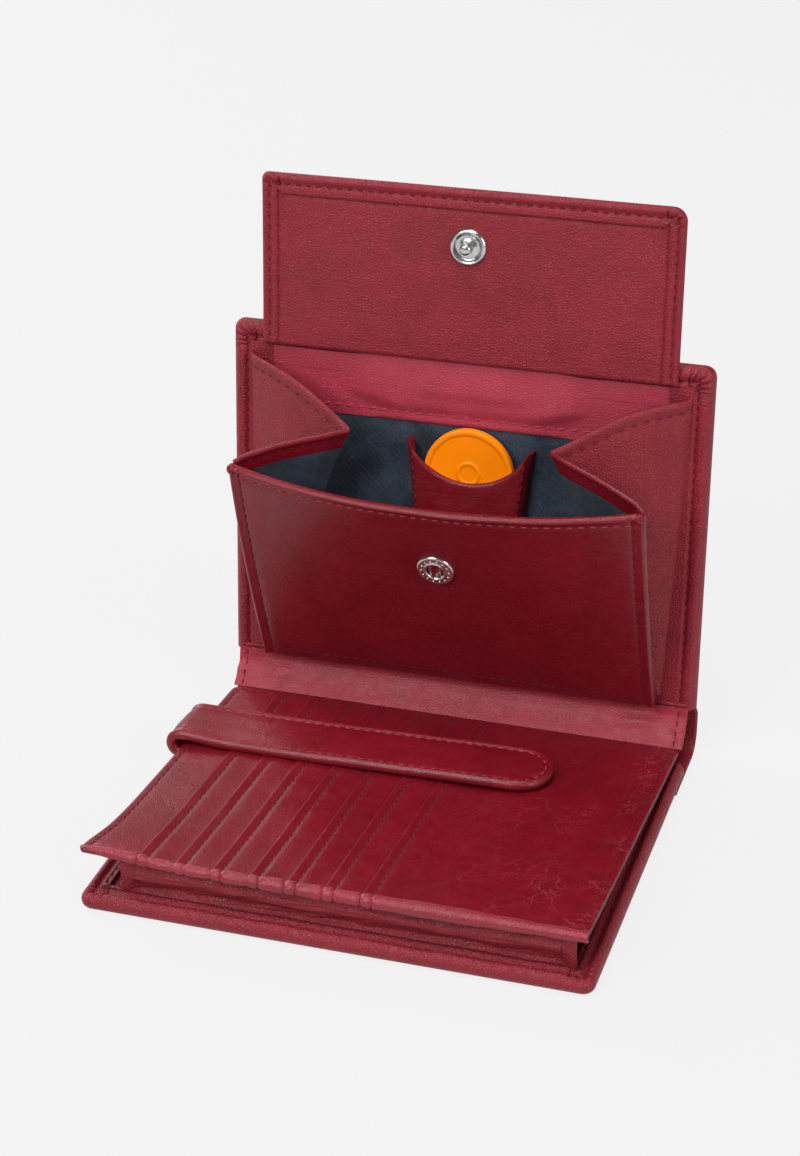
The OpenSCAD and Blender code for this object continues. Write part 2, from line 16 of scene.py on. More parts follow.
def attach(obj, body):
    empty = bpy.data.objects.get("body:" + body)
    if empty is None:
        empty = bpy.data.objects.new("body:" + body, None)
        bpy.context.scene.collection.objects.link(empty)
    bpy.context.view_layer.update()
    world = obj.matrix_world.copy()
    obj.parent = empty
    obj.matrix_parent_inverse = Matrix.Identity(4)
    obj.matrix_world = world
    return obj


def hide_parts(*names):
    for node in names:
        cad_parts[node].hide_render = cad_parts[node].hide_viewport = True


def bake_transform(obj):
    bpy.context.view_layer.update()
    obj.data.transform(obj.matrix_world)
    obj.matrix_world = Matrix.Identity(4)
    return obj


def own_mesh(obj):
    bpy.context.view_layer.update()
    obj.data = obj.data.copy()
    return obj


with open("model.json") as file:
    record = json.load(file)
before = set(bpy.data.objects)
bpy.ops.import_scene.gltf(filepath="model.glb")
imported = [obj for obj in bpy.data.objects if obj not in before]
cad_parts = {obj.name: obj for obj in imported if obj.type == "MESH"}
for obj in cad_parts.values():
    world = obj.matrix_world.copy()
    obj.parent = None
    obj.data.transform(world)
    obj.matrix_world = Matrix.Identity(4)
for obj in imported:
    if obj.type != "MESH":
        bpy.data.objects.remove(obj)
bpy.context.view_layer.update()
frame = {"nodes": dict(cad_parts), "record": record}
MM = 0.001
WELD = 0.002 * MM  # points of a mesh closer than this are one


# ---- driving sizes, as in part.scad
COVER_HALF = 62.5
COVER_T = 4.4
CORNER_Y = 50.0
LOWER_BACK = 46.0
LEAN = radians(6.25)
UPPER_Y = CORNER_Y + 7.2
UPPER_Z = COVER_T + 0.3
FACE_N = 1.2
OUTER_N = FACE_N - COVER_T
COVER_TOP = 100.0
STRIP_T = 1.2
SPINE_R = 6.5
BEND_Y = 55.285

PANEL_HALF = 60.5
PANEL_D = 98.5
PANEL_BACK_Z = 5.9
PANEL_SLOPE = radians(5.2)
POCKETS = 7
POCKET_PITCH = 9.15
POCKET_MARGIN = 12.8
PLY_T = 0.55

STRAP_W = 15.5
STRAP_T = 2.4
STRAP_L = 95.0
STRAP_INSET = 18.0
STRAP_LIFT = 2.7
STRAP_FOLD_X = -PANEL_HALF - 2.0

FRONT_HALF = 53.0
FRONT_H = 66.0
FRONT_SEAM = 10.7
FRONT_OPEN = radians(26.0)
FRONT_AXIS_N = 4.9
FRONT_T = 1.6
SOCKET_UP = 43.0
LEAF_X = 53.4
LEAF_N = 2.0
INNER_LEAF_N = 3.3
LEAF_T = 1.0
LEAF_TOP_T = 92.0
LEAF_OUT_X = 59.1
RIDGE_ANGLE = radians(23.5)
RIDGE_L = 74.0
GUSSET_BAND = 5.5
BACK_SEAM = 78.5

FLAP_HALF = 53.8
FLAP_TOP = 139.4
FLAP_N = 1.5
FLAP_T = 1.8
FOLD_T = 85.298
FLAP_LOW = FOLD_T + 8.0
STUD_UP = 125.0
STUD_D = 9.4

CHIP_D = 23.25
CHIP_X = 1.8
CHIP_LOW = 55.2
CHIP_T = 2.2
POUCH_N = FACE_N + 3.85

STITCH_PITCH = 2.7
BELLOWS_Y = -44.0
BELLOWS_SHIFT = 2.5
BELLOWS_W = 110.0

# material slots of every leather piece, after its own leather in slot 0
THREAD, HOLE_SHADE, LINING, LIGHT_THREAD, DARK = range(1, 6)


# ---- frames of the moving halves
def vec(*a):
    return np.array(a, float)


def up(x, t, n):
    """A point of the upper half: x along the spine, t up the cover, n off its inner face."""
    x, t, n = np.broadcast_arrays(x, t, n)
    y = UPPER_Y + t * sin(LEAN) - n * cos(LEAN)
    z = UPPER_Z + t * cos(LEAN) + n * sin(LEAN)
    return np.stack([x, y, z], -1)


def up_dir(x, t, n):
    return up(x, t, n) - up(0, 0, 0)


def front(x, y, z):
    """A point of the coin box front: y up the panel from its seam, z towards the outside."""
    c, s = cos(FRONT_OPEN), sin(FRONT_OPEN)
    return up(x, FRONT_SEAM + y * c - z * s, FRONT_AXIS_N + y * s + z * c)


FRONT_NORMAL = front(0, 0, 1) - front(0, 0, 0)


def panel(x, y, z):
    """A point of the card panel: y from its spine edge (0) to its front edge (negative)."""
    x, y, z = np.broadcast_arrays(x, y, z)
    c, s = cos(PANEL_SLOPE), sin(PANEL_SLOPE)
    return np.stack([x, CORNER_Y + y * c + z * s, PANEL_BACK_Z - y * s + z * c], -1)


def flat(x, y, z):
    x, y, z = np.broadcast_arrays(x, y, z)
    return np.stack([x, y, z], -1)


def new_object(name, data):
    obj = bpy.data.objects.new(name, data)
    bpy.context.scene.collection.objects.link(obj)
    return obj


# ---- small shape functions
FAR = 1e3  # distance from an edge where there is none


def smooth(a, b, x):
    t = np.clip((x - a) / (b - a), 0, 1)
    return t * t * (3 - 2 * t)


def bump(x, centre, width):
    return np.exp(-(((x - centre) / width) ** 2))


def roll(d, r):
    """Quarter-round rise from 0 at the edge to 1 at distance r."""
    e = np.clip(1 - d / r, 0, 1)
    return np.sqrt(np.maximum(0, 1 - e * e))


def waves(x, y, length, seed):
    """Smooth, repeatable unevenness between about -1 and 1."""
    rng = np.random.default_rng(seed)
    octaves = 5
    total = 0
    for _ in range(octaves):
        a, p = rng.uniform(0, 2 * pi, 2)
        k = 2 * pi / (length * rng.uniform(0.7, 1.6))
        total = total + np.sin(k * (x * cos(a) + y * sin(a)) + p)
    return total / octaves


def lines(a, b, step, lo=(), hi=None):
    """Grid positions from a to b, with extra ones at offsets lo and hi (or lo) from its ends."""
    low = [a + v for v in lo]
    high = [b - v for v in (lo if hi is None else hi)][::-1]
    start = low[-1] if low else a
    stop = high[0] if high else b
    n = max(2, int(round((stop - start) / step)) + 1)
    mid = np.linspace(start, stop, n)
    return np.array(sorted(set(np.round(np.concatenate([low, mid, high]), 5))))


EDGE = (0, 0.06, 0.22, 0.5, 0.9, 1.35, 1.8, 2.2)  # extra grid lines at a padded cover's edge
THIN = (0, 0.05, 0.18, 0.4, 0.7)  # and at the edge of a single ply
PATH_STEP = 0.6


class Outline:
    """Rectangle with a radius for each corner (low left, low right, top right, top left)."""

    def __init__(self, x0, x1, y0, y1, r=(0, 0, 0, 0), free="LRTB"):
        self.x0, self.x1, self.y0, self.y1, self.r, self.free = x0, x1, y0, y1, r, free

    def corners(self):
        xs = (self.x0, self.x1, self.x1, self.x0)
        ys = (self.y0, self.y0, self.y1, self.y1)
        for x, y, r, sx, sy in zip(xs, ys, self.r, (1, -1, -1, 1), (1, 1, -1, -1)):
            if r > 0:
                yield x + sx * r, y + sy * r, r, -sx, -sy

    def warp(self, x, y):
        """Moves the points of a rectangular grid so that its corners become round."""
        x, y = x.copy(), y.copy()
        for cx, cy, r, sx, sy in self.corners():
            p, q = (x - cx) * sx / r, (y - cy) * sy / r
            inside = (p > 0) & (q > 0)
            a = p * np.sqrt(np.maximum(0, 1 - q * q / 2))
            b = q * np.sqrt(np.maximum(0, 1 - p * p / 2))
            x = np.where(inside, cx + sx * a * r, x)
            y = np.where(inside, cy + sy * b * r, y)
        return x, y

    def dist(self, x, y):
        """Distance in from the nearest free edge."""
        d = np.full(np.broadcast(x, y).shape, FAR)
        away = {"L": x - self.x0, "R": self.x1 - x, "B": y - self.y0, "T": self.y1 - y}
        for side in self.free:
            d = np.minimum(d, away[side])
        for cx, cy, r, sx, sy in self.corners():
            p, q = (x - cx) * sx, (y - cy) * sy
            d = np.where((p > 0) & (q > 0), r - np.hypot(p, q), d)
        return np.maximum(d, 0)

    def path(self, inset, sides, ends=0.0):
        """Points along the named sides, in order, at a distance in from the edge."""
        l, r, b, t = (inset if side in self.free else ends for side in "LRBT")
        x0, x1, y0, y1 = self.x0 + l, self.x1 - r, self.y0 + b, self.y1 - t
        knots = {"B": ((x0, y0), (x1, y0)), "R": ((x1, y0), (x1, y1)),
                 "T": ((x1, y1), (x0, y1)), "L": ((x0, y1), (x0, y0))}
        pts = []
        for s in sides:
            (ax, ay), (bx, by) = knots[s]
            n = max(2, int(hypot(bx - ax, by - ay) / PATH_STEP))
            k = np.linspace(0, 1, n)
            pts.append(np.stack([ax + (bx - ax) * k, ay + (by - ay) * k], -1))
        pts = np.concatenate(pts)
        for cx, cy, r, sx, sy in self.corners():
            rr = max(r - inset, 0.3)
            v = (pts - (cx, cy)) * (sx, sy)
            near = (v[:, 0] > 0) & (v[:, 1] > 0)
            length = np.maximum(np.hypot(v[:, 0], v[:, 1]), 1e-6)
            scale = np.where(near, rr / length, 1)[:, None]
            pts = np.where(near[:, None], np.array((cx, cy)) + v * scale * (sx, sy), pts)
        return pts


class Piece:
    """Collects sheets and stitches in millimetres, then makes one mesh object of them."""

    def __init__(self, name, place=None, outline=None):
        self.name, self.place, self.outline = name, place, outline
        self.v, self.f, self.m, self.count = [], [], [], 0

    def inset(self, x, y):
        return self.outline.dist(x, y) if self.outline else np.full(x.shape, FAR)

    def at(self, x, y, face, off=0.0):
        """Points of a face, which is a number or a function of (x, y, d), with d the distance in
        from the piece's outline."""
        h = face(x, y, self.inset(x, y)) if callable(face) else face + 0 * x
        return self.place(x, y, h + off)

    def add(self, verts, faces, mat=0):
        verts = np.asarray(verts, float).reshape(-1, 3)
        self.v.append(verts)
        self.f += [tuple(i + self.count for i in f) for f in faces]
        self.m += [mat] * len(faces)
        self.count += len(verts)

    def grid(self, p, mat=0, flip=False, loop=False, mats=None):
        nu, nv = p.shape[:2]
        faces = []
        for i in range(nu - (0 if loop else 1)):
            k = (i + 1) % nu
            for j in range(nv - 1):
                f = (i * nv + j, k * nv + j, k * nv + j + 1, i * nv + j + 1)
                faces.append(f[::-1] if flip else f)
        self.add(p, faces, mat)
        if mats is not None:
            self.m[-len(faces):] = [int(v) for v in mats.ravel()]

    def sheet(self, xs, ys, top, bottom, mat=0, paint=(), paint_back=(), rims="LRBT"):
        """A sheet over a grid, between two faces; paint gives parts of it slots of their own."""
        x, y = np.meshgrid(xs, ys, indexing="ij")
        if self.outline:
            x, y = self.outline.warp(x, y)
        hi, lo = self.at(x, y, top), self.at(x, y, bottom)
        middles = [(v[:-1, :-1] + v[1:, 1:]) / 2 for v in (x, y, self.inset(x, y))]
        for p, coats, flip in ((hi, paint, False), (lo, paint_back, True)):
            mats = np.full(middles[0].shape, mat)
            for where, slot in coats:
                mats[where(*middles)] = slot
            self.grid(p, mat, flip, mats=mats)
        rim = {"B": (slice(None), 0, False), "T": (slice(None), -1, True),
               "L": (0, slice(None), True), "R": (-1, slice(None), False)}
        for side in rims:
            i, j, flip = rim[side]
            edge = np.stack([lo[i, j], hi[i, j]], 1)
            mats = np.full((edge.shape[0] - 1, 1), mat)
            xe, ye = ((v[i, j][:-1] + v[i, j][1:]) / 2 for v in (x, y))
            for where, slot in paint:
                mats[where(xe, ye, 0 * xe), 0] = slot
            self.grid(edge, mat, flip, mats=mats)

    def stitches(self, pts, face, mat=THREAD, pitch=STITCH_PITCH, length=1.75, width=0.42,
                 proud=0.1, lean=0.0, holes=True, scale=(1, 1)):
        """A row of thread stitches along a path on a face, with dark ovals between them as painted
        shade in the needle holes. scale is the length in millimetres of one unit of the path in
        each direction."""
        pts = np.asarray(pts, float)
        s = np.concatenate([[0], np.cumsum(np.hypot(*(np.diff(pts, axis=0) * scale).T))])
        n = max(1, int(round(s[-1] / pitch)))
        pitch = s[-1] / n
        half = length / 2

        def point(v, off=0.0):
            return self.at(np.interp(v, s, pts[:, 0]), np.interp(v, s, pts[:, 1]), face, off)

        def axes(at):
            tan = point(at + half) - point(at - half)
            tan /= np.linalg.norm(tan, axis=1)[:, None]
            nor = point(at, 0.3) - point(at)
            nor -= (nor * tan).sum(1)[:, None] * tan
            nor /= np.linalg.norm(nor, axis=1)[:, None]
            side = np.cross(nor, tan)
            tan = tan * cos(lean) + side * sin(lean)
            return point(at), tan, nor, np.cross(nor, tan)

        sign = 1 if proud >= 0 else -1
        rings, spokes = 5, 6
        faces = []
        for i in range(rings - 1):
            a, b = i * spokes, (i + 1) * spokes
            for j in range(spokes):
                k = (j + 1) % spokes
                faces.append((a + j, a + k, b + k, b + j))
        faces.append(tuple(range(spokes))[::-1])
        faces.append(tuple(range((rings - 1) * spokes, rings * spokes)))
        for c, t, nn, sd in zip(*axes((np.arange(n) + 0.5) * pitch)):
            ring = []
            for u in np.linspace(-1, 1, rings):
                r = width / 2 * (1.0 if abs(u) < 0.9 else 0.6)
                sink = proud - sign * 0.55 * width * u**4
                for j in range(spokes):
                    a = 2 * pi * j / spokes
                    across = sd * (r * cos(a)) + nn * (r * 0.8 * sin(a) + sink)
                    ring.append(c + t * (u * half) + across)
            self.add(ring, faces, mat)
        if not holes:
            return
        # painted shade: a flat dark oval at each needle hole stands for the shade inside it
        gap = (pitch - length) / 2 + 0.18
        a = np.linspace(0, 2 * pi, 8, endpoint=False)[:, None]
        for c, t, nn, sd in zip(*axes((np.arange(n - 1) + 1.0) * pitch)):
            oval = c + np.cos(a) * t * gap + np.sin(a) * sd * (width * 0.62) + nn * (0.035 * sign)
            self.add(oval, [tuple(range(8))[::sign]], HOLE_SHADE)

    def lathe(self, profile, centre, axis, mat=0, spokes=64, ref=(1, 0, 0)):
        """A turned part: profile is (radius, height) pairs along the axis from centre."""
        axis = np.array(axis, float) / np.linalg.norm(axis)
        ref = np.array(ref, float)
        ref = ref - axis * (ref @ axis)
        ref /= np.linalg.norm(ref)
        other = np.cross(axis, ref)
        a = np.linspace(0, 2 * pi, spokes, endpoint=False)
        spin = np.cos(a)[:, None] * ref + np.sin(a)[:, None] * other
        p = np.array([[centre + s * r + axis * h for r, h in profile] for s in spin])
        self.grid(p, mat, loop=True)

    def make(self, materials, body=None, replaces=(), smooth_angle=radians(66)):
        mesh = bpy.data.meshes.new(self.name)
        mesh.from_pydata((np.concatenate(self.v) * MM).tolist(), [], self.f)
        mesh.polygons.foreach_set("material_index", self.m)
        mesh.polygons.foreach_set("use_smooth", [True] * len(self.f))
        for mat in materials:
            mesh.materials.append(mat)
        b = bmesh.new()
        b.from_mesh(mesh)
        bmesh.ops.remove_doubles(b, verts=b.verts, dist=WELD)
        bmesh.ops.dissolve_degenerate(b, edges=b.edges, dist=WELD / 4)
        b.to_mesh(mesh)
        b.free()
        obj = new_object(self.name, mesh)
        mesh.set_sharp_from_angle(angle=smooth_angle)
        if replaces:
            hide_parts(*replaces)
        if body:
            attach(obj, body)
        return obj


# ---- camera
FOCAL_PX = 2610.39
PHOTO_H = 1156
CAM_AZ, CAM_EL, CAM_ROLL = radians(18.19), radians(27.79), radians(-1.19)
CAM_DIST = 630.78
CAM_TARGET = vec(-3.72, 20.0, 61.55)


def make_camera():
    back = vec(sin(CAM_AZ) * cos(CAM_EL), -cos(CAM_AZ) * cos(CAM_EL), sin(CAM_EL))
    right = vec(cos(CAM_AZ), sin(CAM_AZ), 0)
    above = np.cross(back, right)
    c, s = cos(CAM_ROLL), sin(CAM_ROLL)
    right, above = c * right + s * above, c * above - s * right
    data = bpy.data.cameras.new("camera")
    data.sensor_width = 36
    data.lens = FOCAL_PX * data.sensor_width / PHOTO_H
    data.clip_start, data.clip_end = 0.01, 20
    cam = new_object("camera", data)
    m = Matrix([list(col) for col in zip(right, above, back)]).to_4x4()
    m.translation = Vector((CAM_TARGET + back * CAM_DIST) * MM)
    cam.matrix_world = m
    bpy.context.scene.camera = cam


# ---- materials
class Nodes:
    """Short hand for building a material's node tree; sizes of textures are in millimetres."""

    def __init__(self, name):
        self.mat = bpy.data.materials.new(name)
        self.mat.use_nodes = True
        self.tree = self.mat.node_tree
        self.bsdf = self.tree.nodes["Principled BSDF"]
        self.vector = self.coords()

    def put(self, value, socket):
        if isinstance(value, bpy.types.NodeSocket):
            self.tree.links.new(value, socket)
        elif value is not None:
            socket.default_value = value

    def new(self, kind, inputs, **props):
        """A node with its properties and inputs, each a value or another node's output."""
        node = self.tree.nodes.new(kind)
        for key, value in props.items():
            setattr(node, key, value)
        for key, value in inputs.items():
            self.put(value, node.inputs[key])
        return node

    def coords(self, scale=(1, 1, 1)):
        places = self.new("ShaderNodeTexCoord", {}).outputs["Object"]
        return self.new("ShaderNodeMapping", {"Scale": scale, "Vector": places}).outputs["Vector"]

    def noise(self, size, detail=3, rough=0.55, distortion=0.0, vector=None):
        return self.new("ShaderNodeTexNoise", {
            "Scale": 1 / (size * MM), "Detail": detail, "Roughness": rough,
            "Distortion": distortion, "Vector": vector or self.vector}).outputs["Fac"]

    def cells(self, size, vector):
        return self.new("ShaderNodeTexVoronoi", {"Scale": 1 / (size * MM), "Vector": vector},
                        feature="DISTANCE_TO_EDGE").outputs["Distance"]

    def twill(self, size, **inputs):
        inputs.update(Scale=1 / (size * MM), Vector=self.vector)
        return self.new("ShaderNodeTexWave", inputs, wave_type="BANDS",
                        bands_direction="DIAGONAL").outputs["Fac"]

    def nudged(self, by, amount):
        """The coordinates, pushed aside by a noise."""
        return self.new("ShaderNodeVectorMath", {0: by, 1: (amount,) * 3, 2: self.vector},
                        operation="MULTIPLY_ADD").outputs[0]

    def math(self, op, *values):
        return self.new("ShaderNodeMath", dict(enumerate(values)), operation=op).outputs[0]

    def ramp(self, fac, lo, hi, a=0.0, b=1.0):
        return self.new("ShaderNodeMapRange", {
            "Value": fac, "From Min": lo, "From Max": hi, "To Min": a, "To Max": b},
            interpolation_type="SMOOTHSTEP").outputs["Result"]

    def mix(self, fac, a, b):
        node = self.new("ShaderNodeMix", {"Factor": fac}, data_type="RGBA")
        for key, v in (("A", a), ("B", b)):
            socket = next(s for s in node.inputs if s.name == key and s.type == "RGBA")
            self.put((*v, 1) if isinstance(v, tuple) else v, socket)
        return next(s for s in node.outputs if s.type == "RGBA")

    def bump(self, height, distance, strength, below=None):
        return self.new("ShaderNodeBump", {
            "Strength": strength, "Distance": distance * MM, "Height": height,
            "Normal": below}).outputs["Normal"]

    def done(self, **inputs):
        """The material, with its surface's inputs set: each a value or a node's output."""
        for key, value in inputs.items():
            self.put(value, self.bsdf.inputs[key.replace("_", " ")])
        return self.mat


def darker(colour, k):
    return tuple(c * k for c in colour)


def leather(name, base, dark, rough=0.42, grain_mm=0.75, grain=0.35, creases=0.0, wear=0.25,
            gloss=0.38, streaks=0.0):
    """Red calf leather: pebble grain with painted shade in the grooves between its pebbles, soft
    mottling, fine creases where it was bent.
    """
    n = Nodes(name)
    pebble = n.ramp(n.cells(grain_mm, n.nudged(n.noise(1.6, 2), 0.0007)), 0.0, 0.32)
    pores = n.noise(0.35, 3, 0.7)
    normal = n.bump(n.math("MULTIPLY_ADD", pores, 0.35, pebble), 0.1, grain)
    normal = n.bump(n.noise(5, 3, 0.55, 0.8), 0.5, 0.18, normal)
    if streaks:
        drawn = n.noise(1.3, 4, 0.65, 0.5, n.coords((0.16, 1, 1)))
        normal = n.bump(drawn, 0.22, streaks, normal)
    colour = n.mix(n.ramp(n.noise(14, 4, 0.6, 0.6), 0.3, 0.72), dark, base)
    # painted shade: the grooves between the pebbles are darkened towards a darker red
    grain_hollow_shade = n.math("SUBTRACT", 1.0, n.ramp(pebble, 0.0, 0.6))
    colour = n.mix(n.math("MULTIPLY", grain_hollow_shade, 0.28), colour, darker(base, 0.45))
    if creases:  # a net of lines, in patches and mostly to the right
        line = n.ramp(n.cells(4.2, n.nudged(n.noise(6, 4, 0.65), 0.012)), 0.0, 0.05, 1.0, 0.0)
        x = n.new("ShaderNodeSeparateXYZ", {0: n.vector}).outputs["X"]
        right = n.math("MULTIPLY_ADD", n.ramp(x, 0.012, 0.058), 0.8, 0.2)
        patches = n.ramp(n.noise(15, 3, 0.5, vector=n.coords((1.6, 0.8, 1))), 0.4, 0.62)
        line = n.math("MULTIPLY", n.math("MULTIPLY", line, patches), right)
        colour = n.mix(n.math("MULTIPLY", line, 0.3 * creases), colour, (0.42, 0.06, 0.08))
        normal = n.bump(line, 0.1, 0.45 * creases, normal)
    rough = n.ramp(n.noise(3.5, 4, 0.65), 0.25, 0.8, rough - 0.07, rough + 0.1)
    return n.done(Base_Color=colour, Roughness=rough, Normal=normal, Specular_IOR_Level=gloss,
                  Sheen_Weight=wear, Sheen_Roughness=0.45, Sheen_Tint=(1.0, 0.55, 0.6, 1))


def cloth(name):
    """Dark lining: a fine twill with a faint fuzz."""
    n = Nodes(name)
    fuzz = n.noise(0.5, 4, 0.75)
    twill = n.math("MULTIPLY", n.twill(3.2, Distortion=1.5, Detail=2), 0.5)
    tone = n.math("MULTIPLY_ADD", n.noise(9), 0.5, n.math("MULTIPLY", fuzz, 0.5))
    colour = n.mix(n.ramp(tone, 0.35, 0.7), (0.008, 0.0125, 0.021), (0.042, 0.058, 0.083))
    normal = n.bump(n.math("MULTIPLY_ADD", fuzz, 0.8, twill), 0.12, 0.5)
    return n.done(Base_Color=colour, Normal=normal, Roughness=0.85, Specular_IOR_Level=0.25,
                  Sheen_Weight=0.15, Sheen_Roughness=0.5, Sheen_Tint=(0.75, 0.85, 1, 1))


def thread(name, base):
    n = Nodes(name)
    return n.done(Base_Color=n.mix(n.noise(2.0, 2), darker(base, 0.55), base),
                  Normal=n.bump(n.twill(1.1), 0.05, 0.4), Roughness=0.7, Specular_IOR_Level=0.2)


def metal(name):
    n = Nodes(name)
    scratch = n.noise(0.9, 4, 0.7)
    return n.done(Base_Color=n.mix(n.noise(3.0), (0.50, 0.49, 0.48), (0.66, 0.65, 0.64)),
                  Roughness=n.ramp(scratch, 0.3, 0.75, 0.13, 0.3),
                  Normal=n.bump(scratch, 0.01, 0.15), Metallic=1.0)


def plastic(name):
    n = Nodes(name)
    return n.done(Base_Color=n.mix(n.noise(6.0), (1.0, 0.215, 0.0), (1.0, 0.265, 0.0)),
                  Roughness=n.ramp(n.noise(1.5), 0.3, 0.7, 0.3, 0.42),
                  Normal=n.bump(n.noise(0.6, 2), 0.01, 0.2), Specular_IOR_Level=0.25)


def board(name, base):
    n = Nodes(name)
    fibre = n.noise(1.2, 4, 0.7)
    return n.done(Base_Color=n.mix(fibre, darker(base, 0.8), base),
                  Normal=n.bump(fibre, 0.05, 0.3), Roughness=0.9)


RED = (0.235, 0.0058, 0.0175)
RED_DARK = (0.185, 0.0036, 0.0115)
# painted shade: a darker copy of the red leather, for the card panel and the coin box front
PANEL_SHADED_RED = (0.184, 0.0038, 0.012)
PANEL_SHADED_DARK = (0.15, 0.0028, 0.0085)
MAT = {
    "nappa": leather("nappa_leather", RED, RED_DARK, rough=0.5, grain=1.0, wear=0.05,
                     streaks=0.35),
    # the card panel's and coin front's leathers take the darker red, painted shade
    "smooth": leather("smooth_leather", PANEL_SHADED_RED, PANEL_SHADED_DARK, rough=0.34, grain_mm=0.6,
                      grain=0.26, creases=1.2, wear=0.0, streaks=0.3),
    "front": leather("front_leather", PANEL_SHADED_RED, PANEL_SHADED_DARK, rough=0.38, grain_mm=0.6,
                     grain=0.25, creases=0.4, wear=0.0, gloss=0.34, streaks=0.45),
    "pebble": leather("pebble_leather", (0.315, 0.014, 0.034), (0.25, 0.009, 0.023), rough=0.5,
                      grain_mm=0.7, grain=0.5, gloss=0.42),
    # painted light: a lighter copy of the red leather for the back wall's band, brighter because
    # the band faces forward and a little up under the lamps
    "band": leather("band_leather", (0.4, 0.022, 0.052), (0.33, 0.015, 0.037), rough=0.48,
                    grain_mm=0.62, grain=0.7, wear=0.3, gloss=0.5),
    "trim": leather("trim_leather", (0.27, 0.009, 0.024), (0.21, 0.006, 0.017), grain=0.55,
                    wear=0.15, gloss=0.45),
    "edge": leather("edge_leather", (0.07, 0.006, 0.016), (0.045, 0.004, 0.012), rough=0.5,
                    grain=0.2, wear=0.0, gloss=0.0),
    "cloth": cloth("lining_cloth"),
    "thread": thread("red_thread", (0.14, 0.005, 0.018)),
    "light_thread": thread("light_red_thread", (0.42, 0.05, 0.075)),
    # needle holes: a dark board colour, painted shade
    "hole": board("needle_hole", (0.045, 0.003, 0.008)),
    "metal": metal("snap_metal"),
    "chip": plastic("chip_plastic"),
    "board": board("grey_board", (0.36, 0.31, 0.25)),
    "foam": board("foam", (0.72, 0.7, 0.62)),
}
CAD_SLOTS = {"deep_leather": "nappa", "lit_leather": "nappa", "lining_cloth": "cloth",
             "board": "board", "foam": "foam", "snap_metal": "metal", "chip_plastic": "chip"}


def kit(leather_key):
    """Materials of a leather piece, in the order of the slots."""
    return [MAT[k] for k in (leather_key, "thread", "hole", "cloth", "light_thread", "edge")]


def dress_cad_nodes():
    """Every CAD node gets the material of its slot; most are replaced by modelled pieces."""
    slots = {s["node"]: s["material_slot"] for s in frame["record"]["subparts"]}
    for name, obj in frame["nodes"].items():
        mat = MAT[CAD_SLOTS[slots[name]]]
        if not obj.material_slots:
            obj.data.materials.append(mat)
        for slot in obj.material_slots:
            slot.link = "OBJECT"
            slot.material = mat


# ---- lower half
LOWER_FRONT = -50.0
CORNER_R = 3.0
HEM_W = 6.0
LINING_Z = 3.7
HEM_LINES = EDGE + (2.6, 3.0, 3.4, 3.8, 4.2, 4.6, 5.0, 5.4, 5.8, 6.0, 6.3, 6.7, 7.3)


def pleats(x, y, outline, depth, reach=6.6):
    """Gathered folds of the turned-in leather, fanning out to a corner from where they are sewn."""
    total = 0 * x
    for cx, cy, r, sx, sy in outline.corners():
        u, v = (x - cx) * sx - r + reach, (y - cy) * sy - r + reach
        far = np.hypot(u, v)
        angle = np.arctan2(v, u)
        fan = smooth(-0.25, 0.15, angle) * smooth(1.82, 1.42, angle)
        belt = smooth(0.6, 2.0, far) * smooth(reach * 1.6, reach * 0.95, far)
        crease = 1 - np.abs(np.sin(angle * 11.0 + 0.6 * np.sin(far * 1.3))) ** 0.7
        total = total + depth * crease * fan * belt
    return total


def knot(p, face):
    """Thread ends drawn together at each gathered corner."""
    inset = 5.6
    for cx, cy, r, sx, sy in p.outline.corners():
        middle = vec(cx + sx * (r - inset), cy + sy * (r - inset))
        for turn in (0.15, 0.95, 1.75, 2.4):
            a = turn + 0.3 * sx
            half = 1.25 * vec(cos(a), sin(a))
            p.stitches([middle - half, middle + half], face, pitch=2.6, length=2.4, proud=0.22,
                       width=0.34, holes=False)


def lower_shell():
    """Padded lower cover: rolled edge, sewn hem and the lining inside the note compartment."""
    o = Outline(-COVER_HALF, COVER_HALF, LOWER_FRONT, LOWER_BACK, r=(CORNER_R, CORNER_R, 0, 0),
                free="LRB")
    mid = COVER_T / 2

    def top(x, y, d):
        z = COVER_T + 0.1 - 0.95 * bump(d, 3.1, 0.8) + 0.15 * bump(d, 1.6, 0.7)
        z = z + 0.14 * waves(x, y, 15, 3) * smooth(0.8, 2.5, d)
        z = z + 0.22 * waves(x, y * 0.3, 12, 9) * bump(d, 1.5, 1.0)
        z = z - pleats(x, y, o, 0.85) * smooth(0.1, 1.2, d)
        inner = smooth(HEM_W - 0.1, HEM_W + 0.5, d)
        return mid + (z * (1 - inner) + LINING_Z * inner - mid) * roll(d, mid)

    p = Piece("lower_shell", flat, o)
    xs = lines(-COVER_HALF, COVER_HALF, 1.6, HEM_LINES)
    ys = lines(LOWER_FRONT, LOWER_BACK, 1.8, HEM_LINES, (0, 9.0))
    p.sheet(xs, ys, top, lambda x, y, d: mid - mid * roll(d, mid),
            paint=[(lambda x, y, d: (d > HEM_W - 0.25) & (d < HEM_W + 0.2), DARK)])
    p.stitches(o.path(4.6, "LBR", ends=1), top)
    knot(p, top)
    p.make(kit("nappa"), "lower_half", ("lower_cover", "lower_lining"))


STRIP_LOW = 37.0  # where the outer strip starts, under the lower cover
STRIP_ABOVE = 20.4  # its length above the bend
STRIP_MEET = 0.548  # where its two sheets meet, as a part of its length


def spine_profile(k):
    """Middle line of the outer spine strip from its lower end (0) to its upper (1): y and z, then
    its normal's y and z."""
    r = SPINE_R - STRIP_T / 2
    below = BEND_Y - STRIP_LOW
    sweep = pi / 2 - LEAN
    s = k * (below + r * sweep + STRIP_ABOVE)
    ang = np.clip((s - below) / r, 0, sweep)
    past = np.maximum(0, s - below - r * sweep)
    y = np.where(s < below, STRIP_LOW + s, BEND_Y + r * np.sin(ang)) + past * sin(LEAN)
    z = SPINE_R - r * np.cos(ang) + past * cos(LEAN)
    return y, z, -np.sin(ang), np.cos(ang)


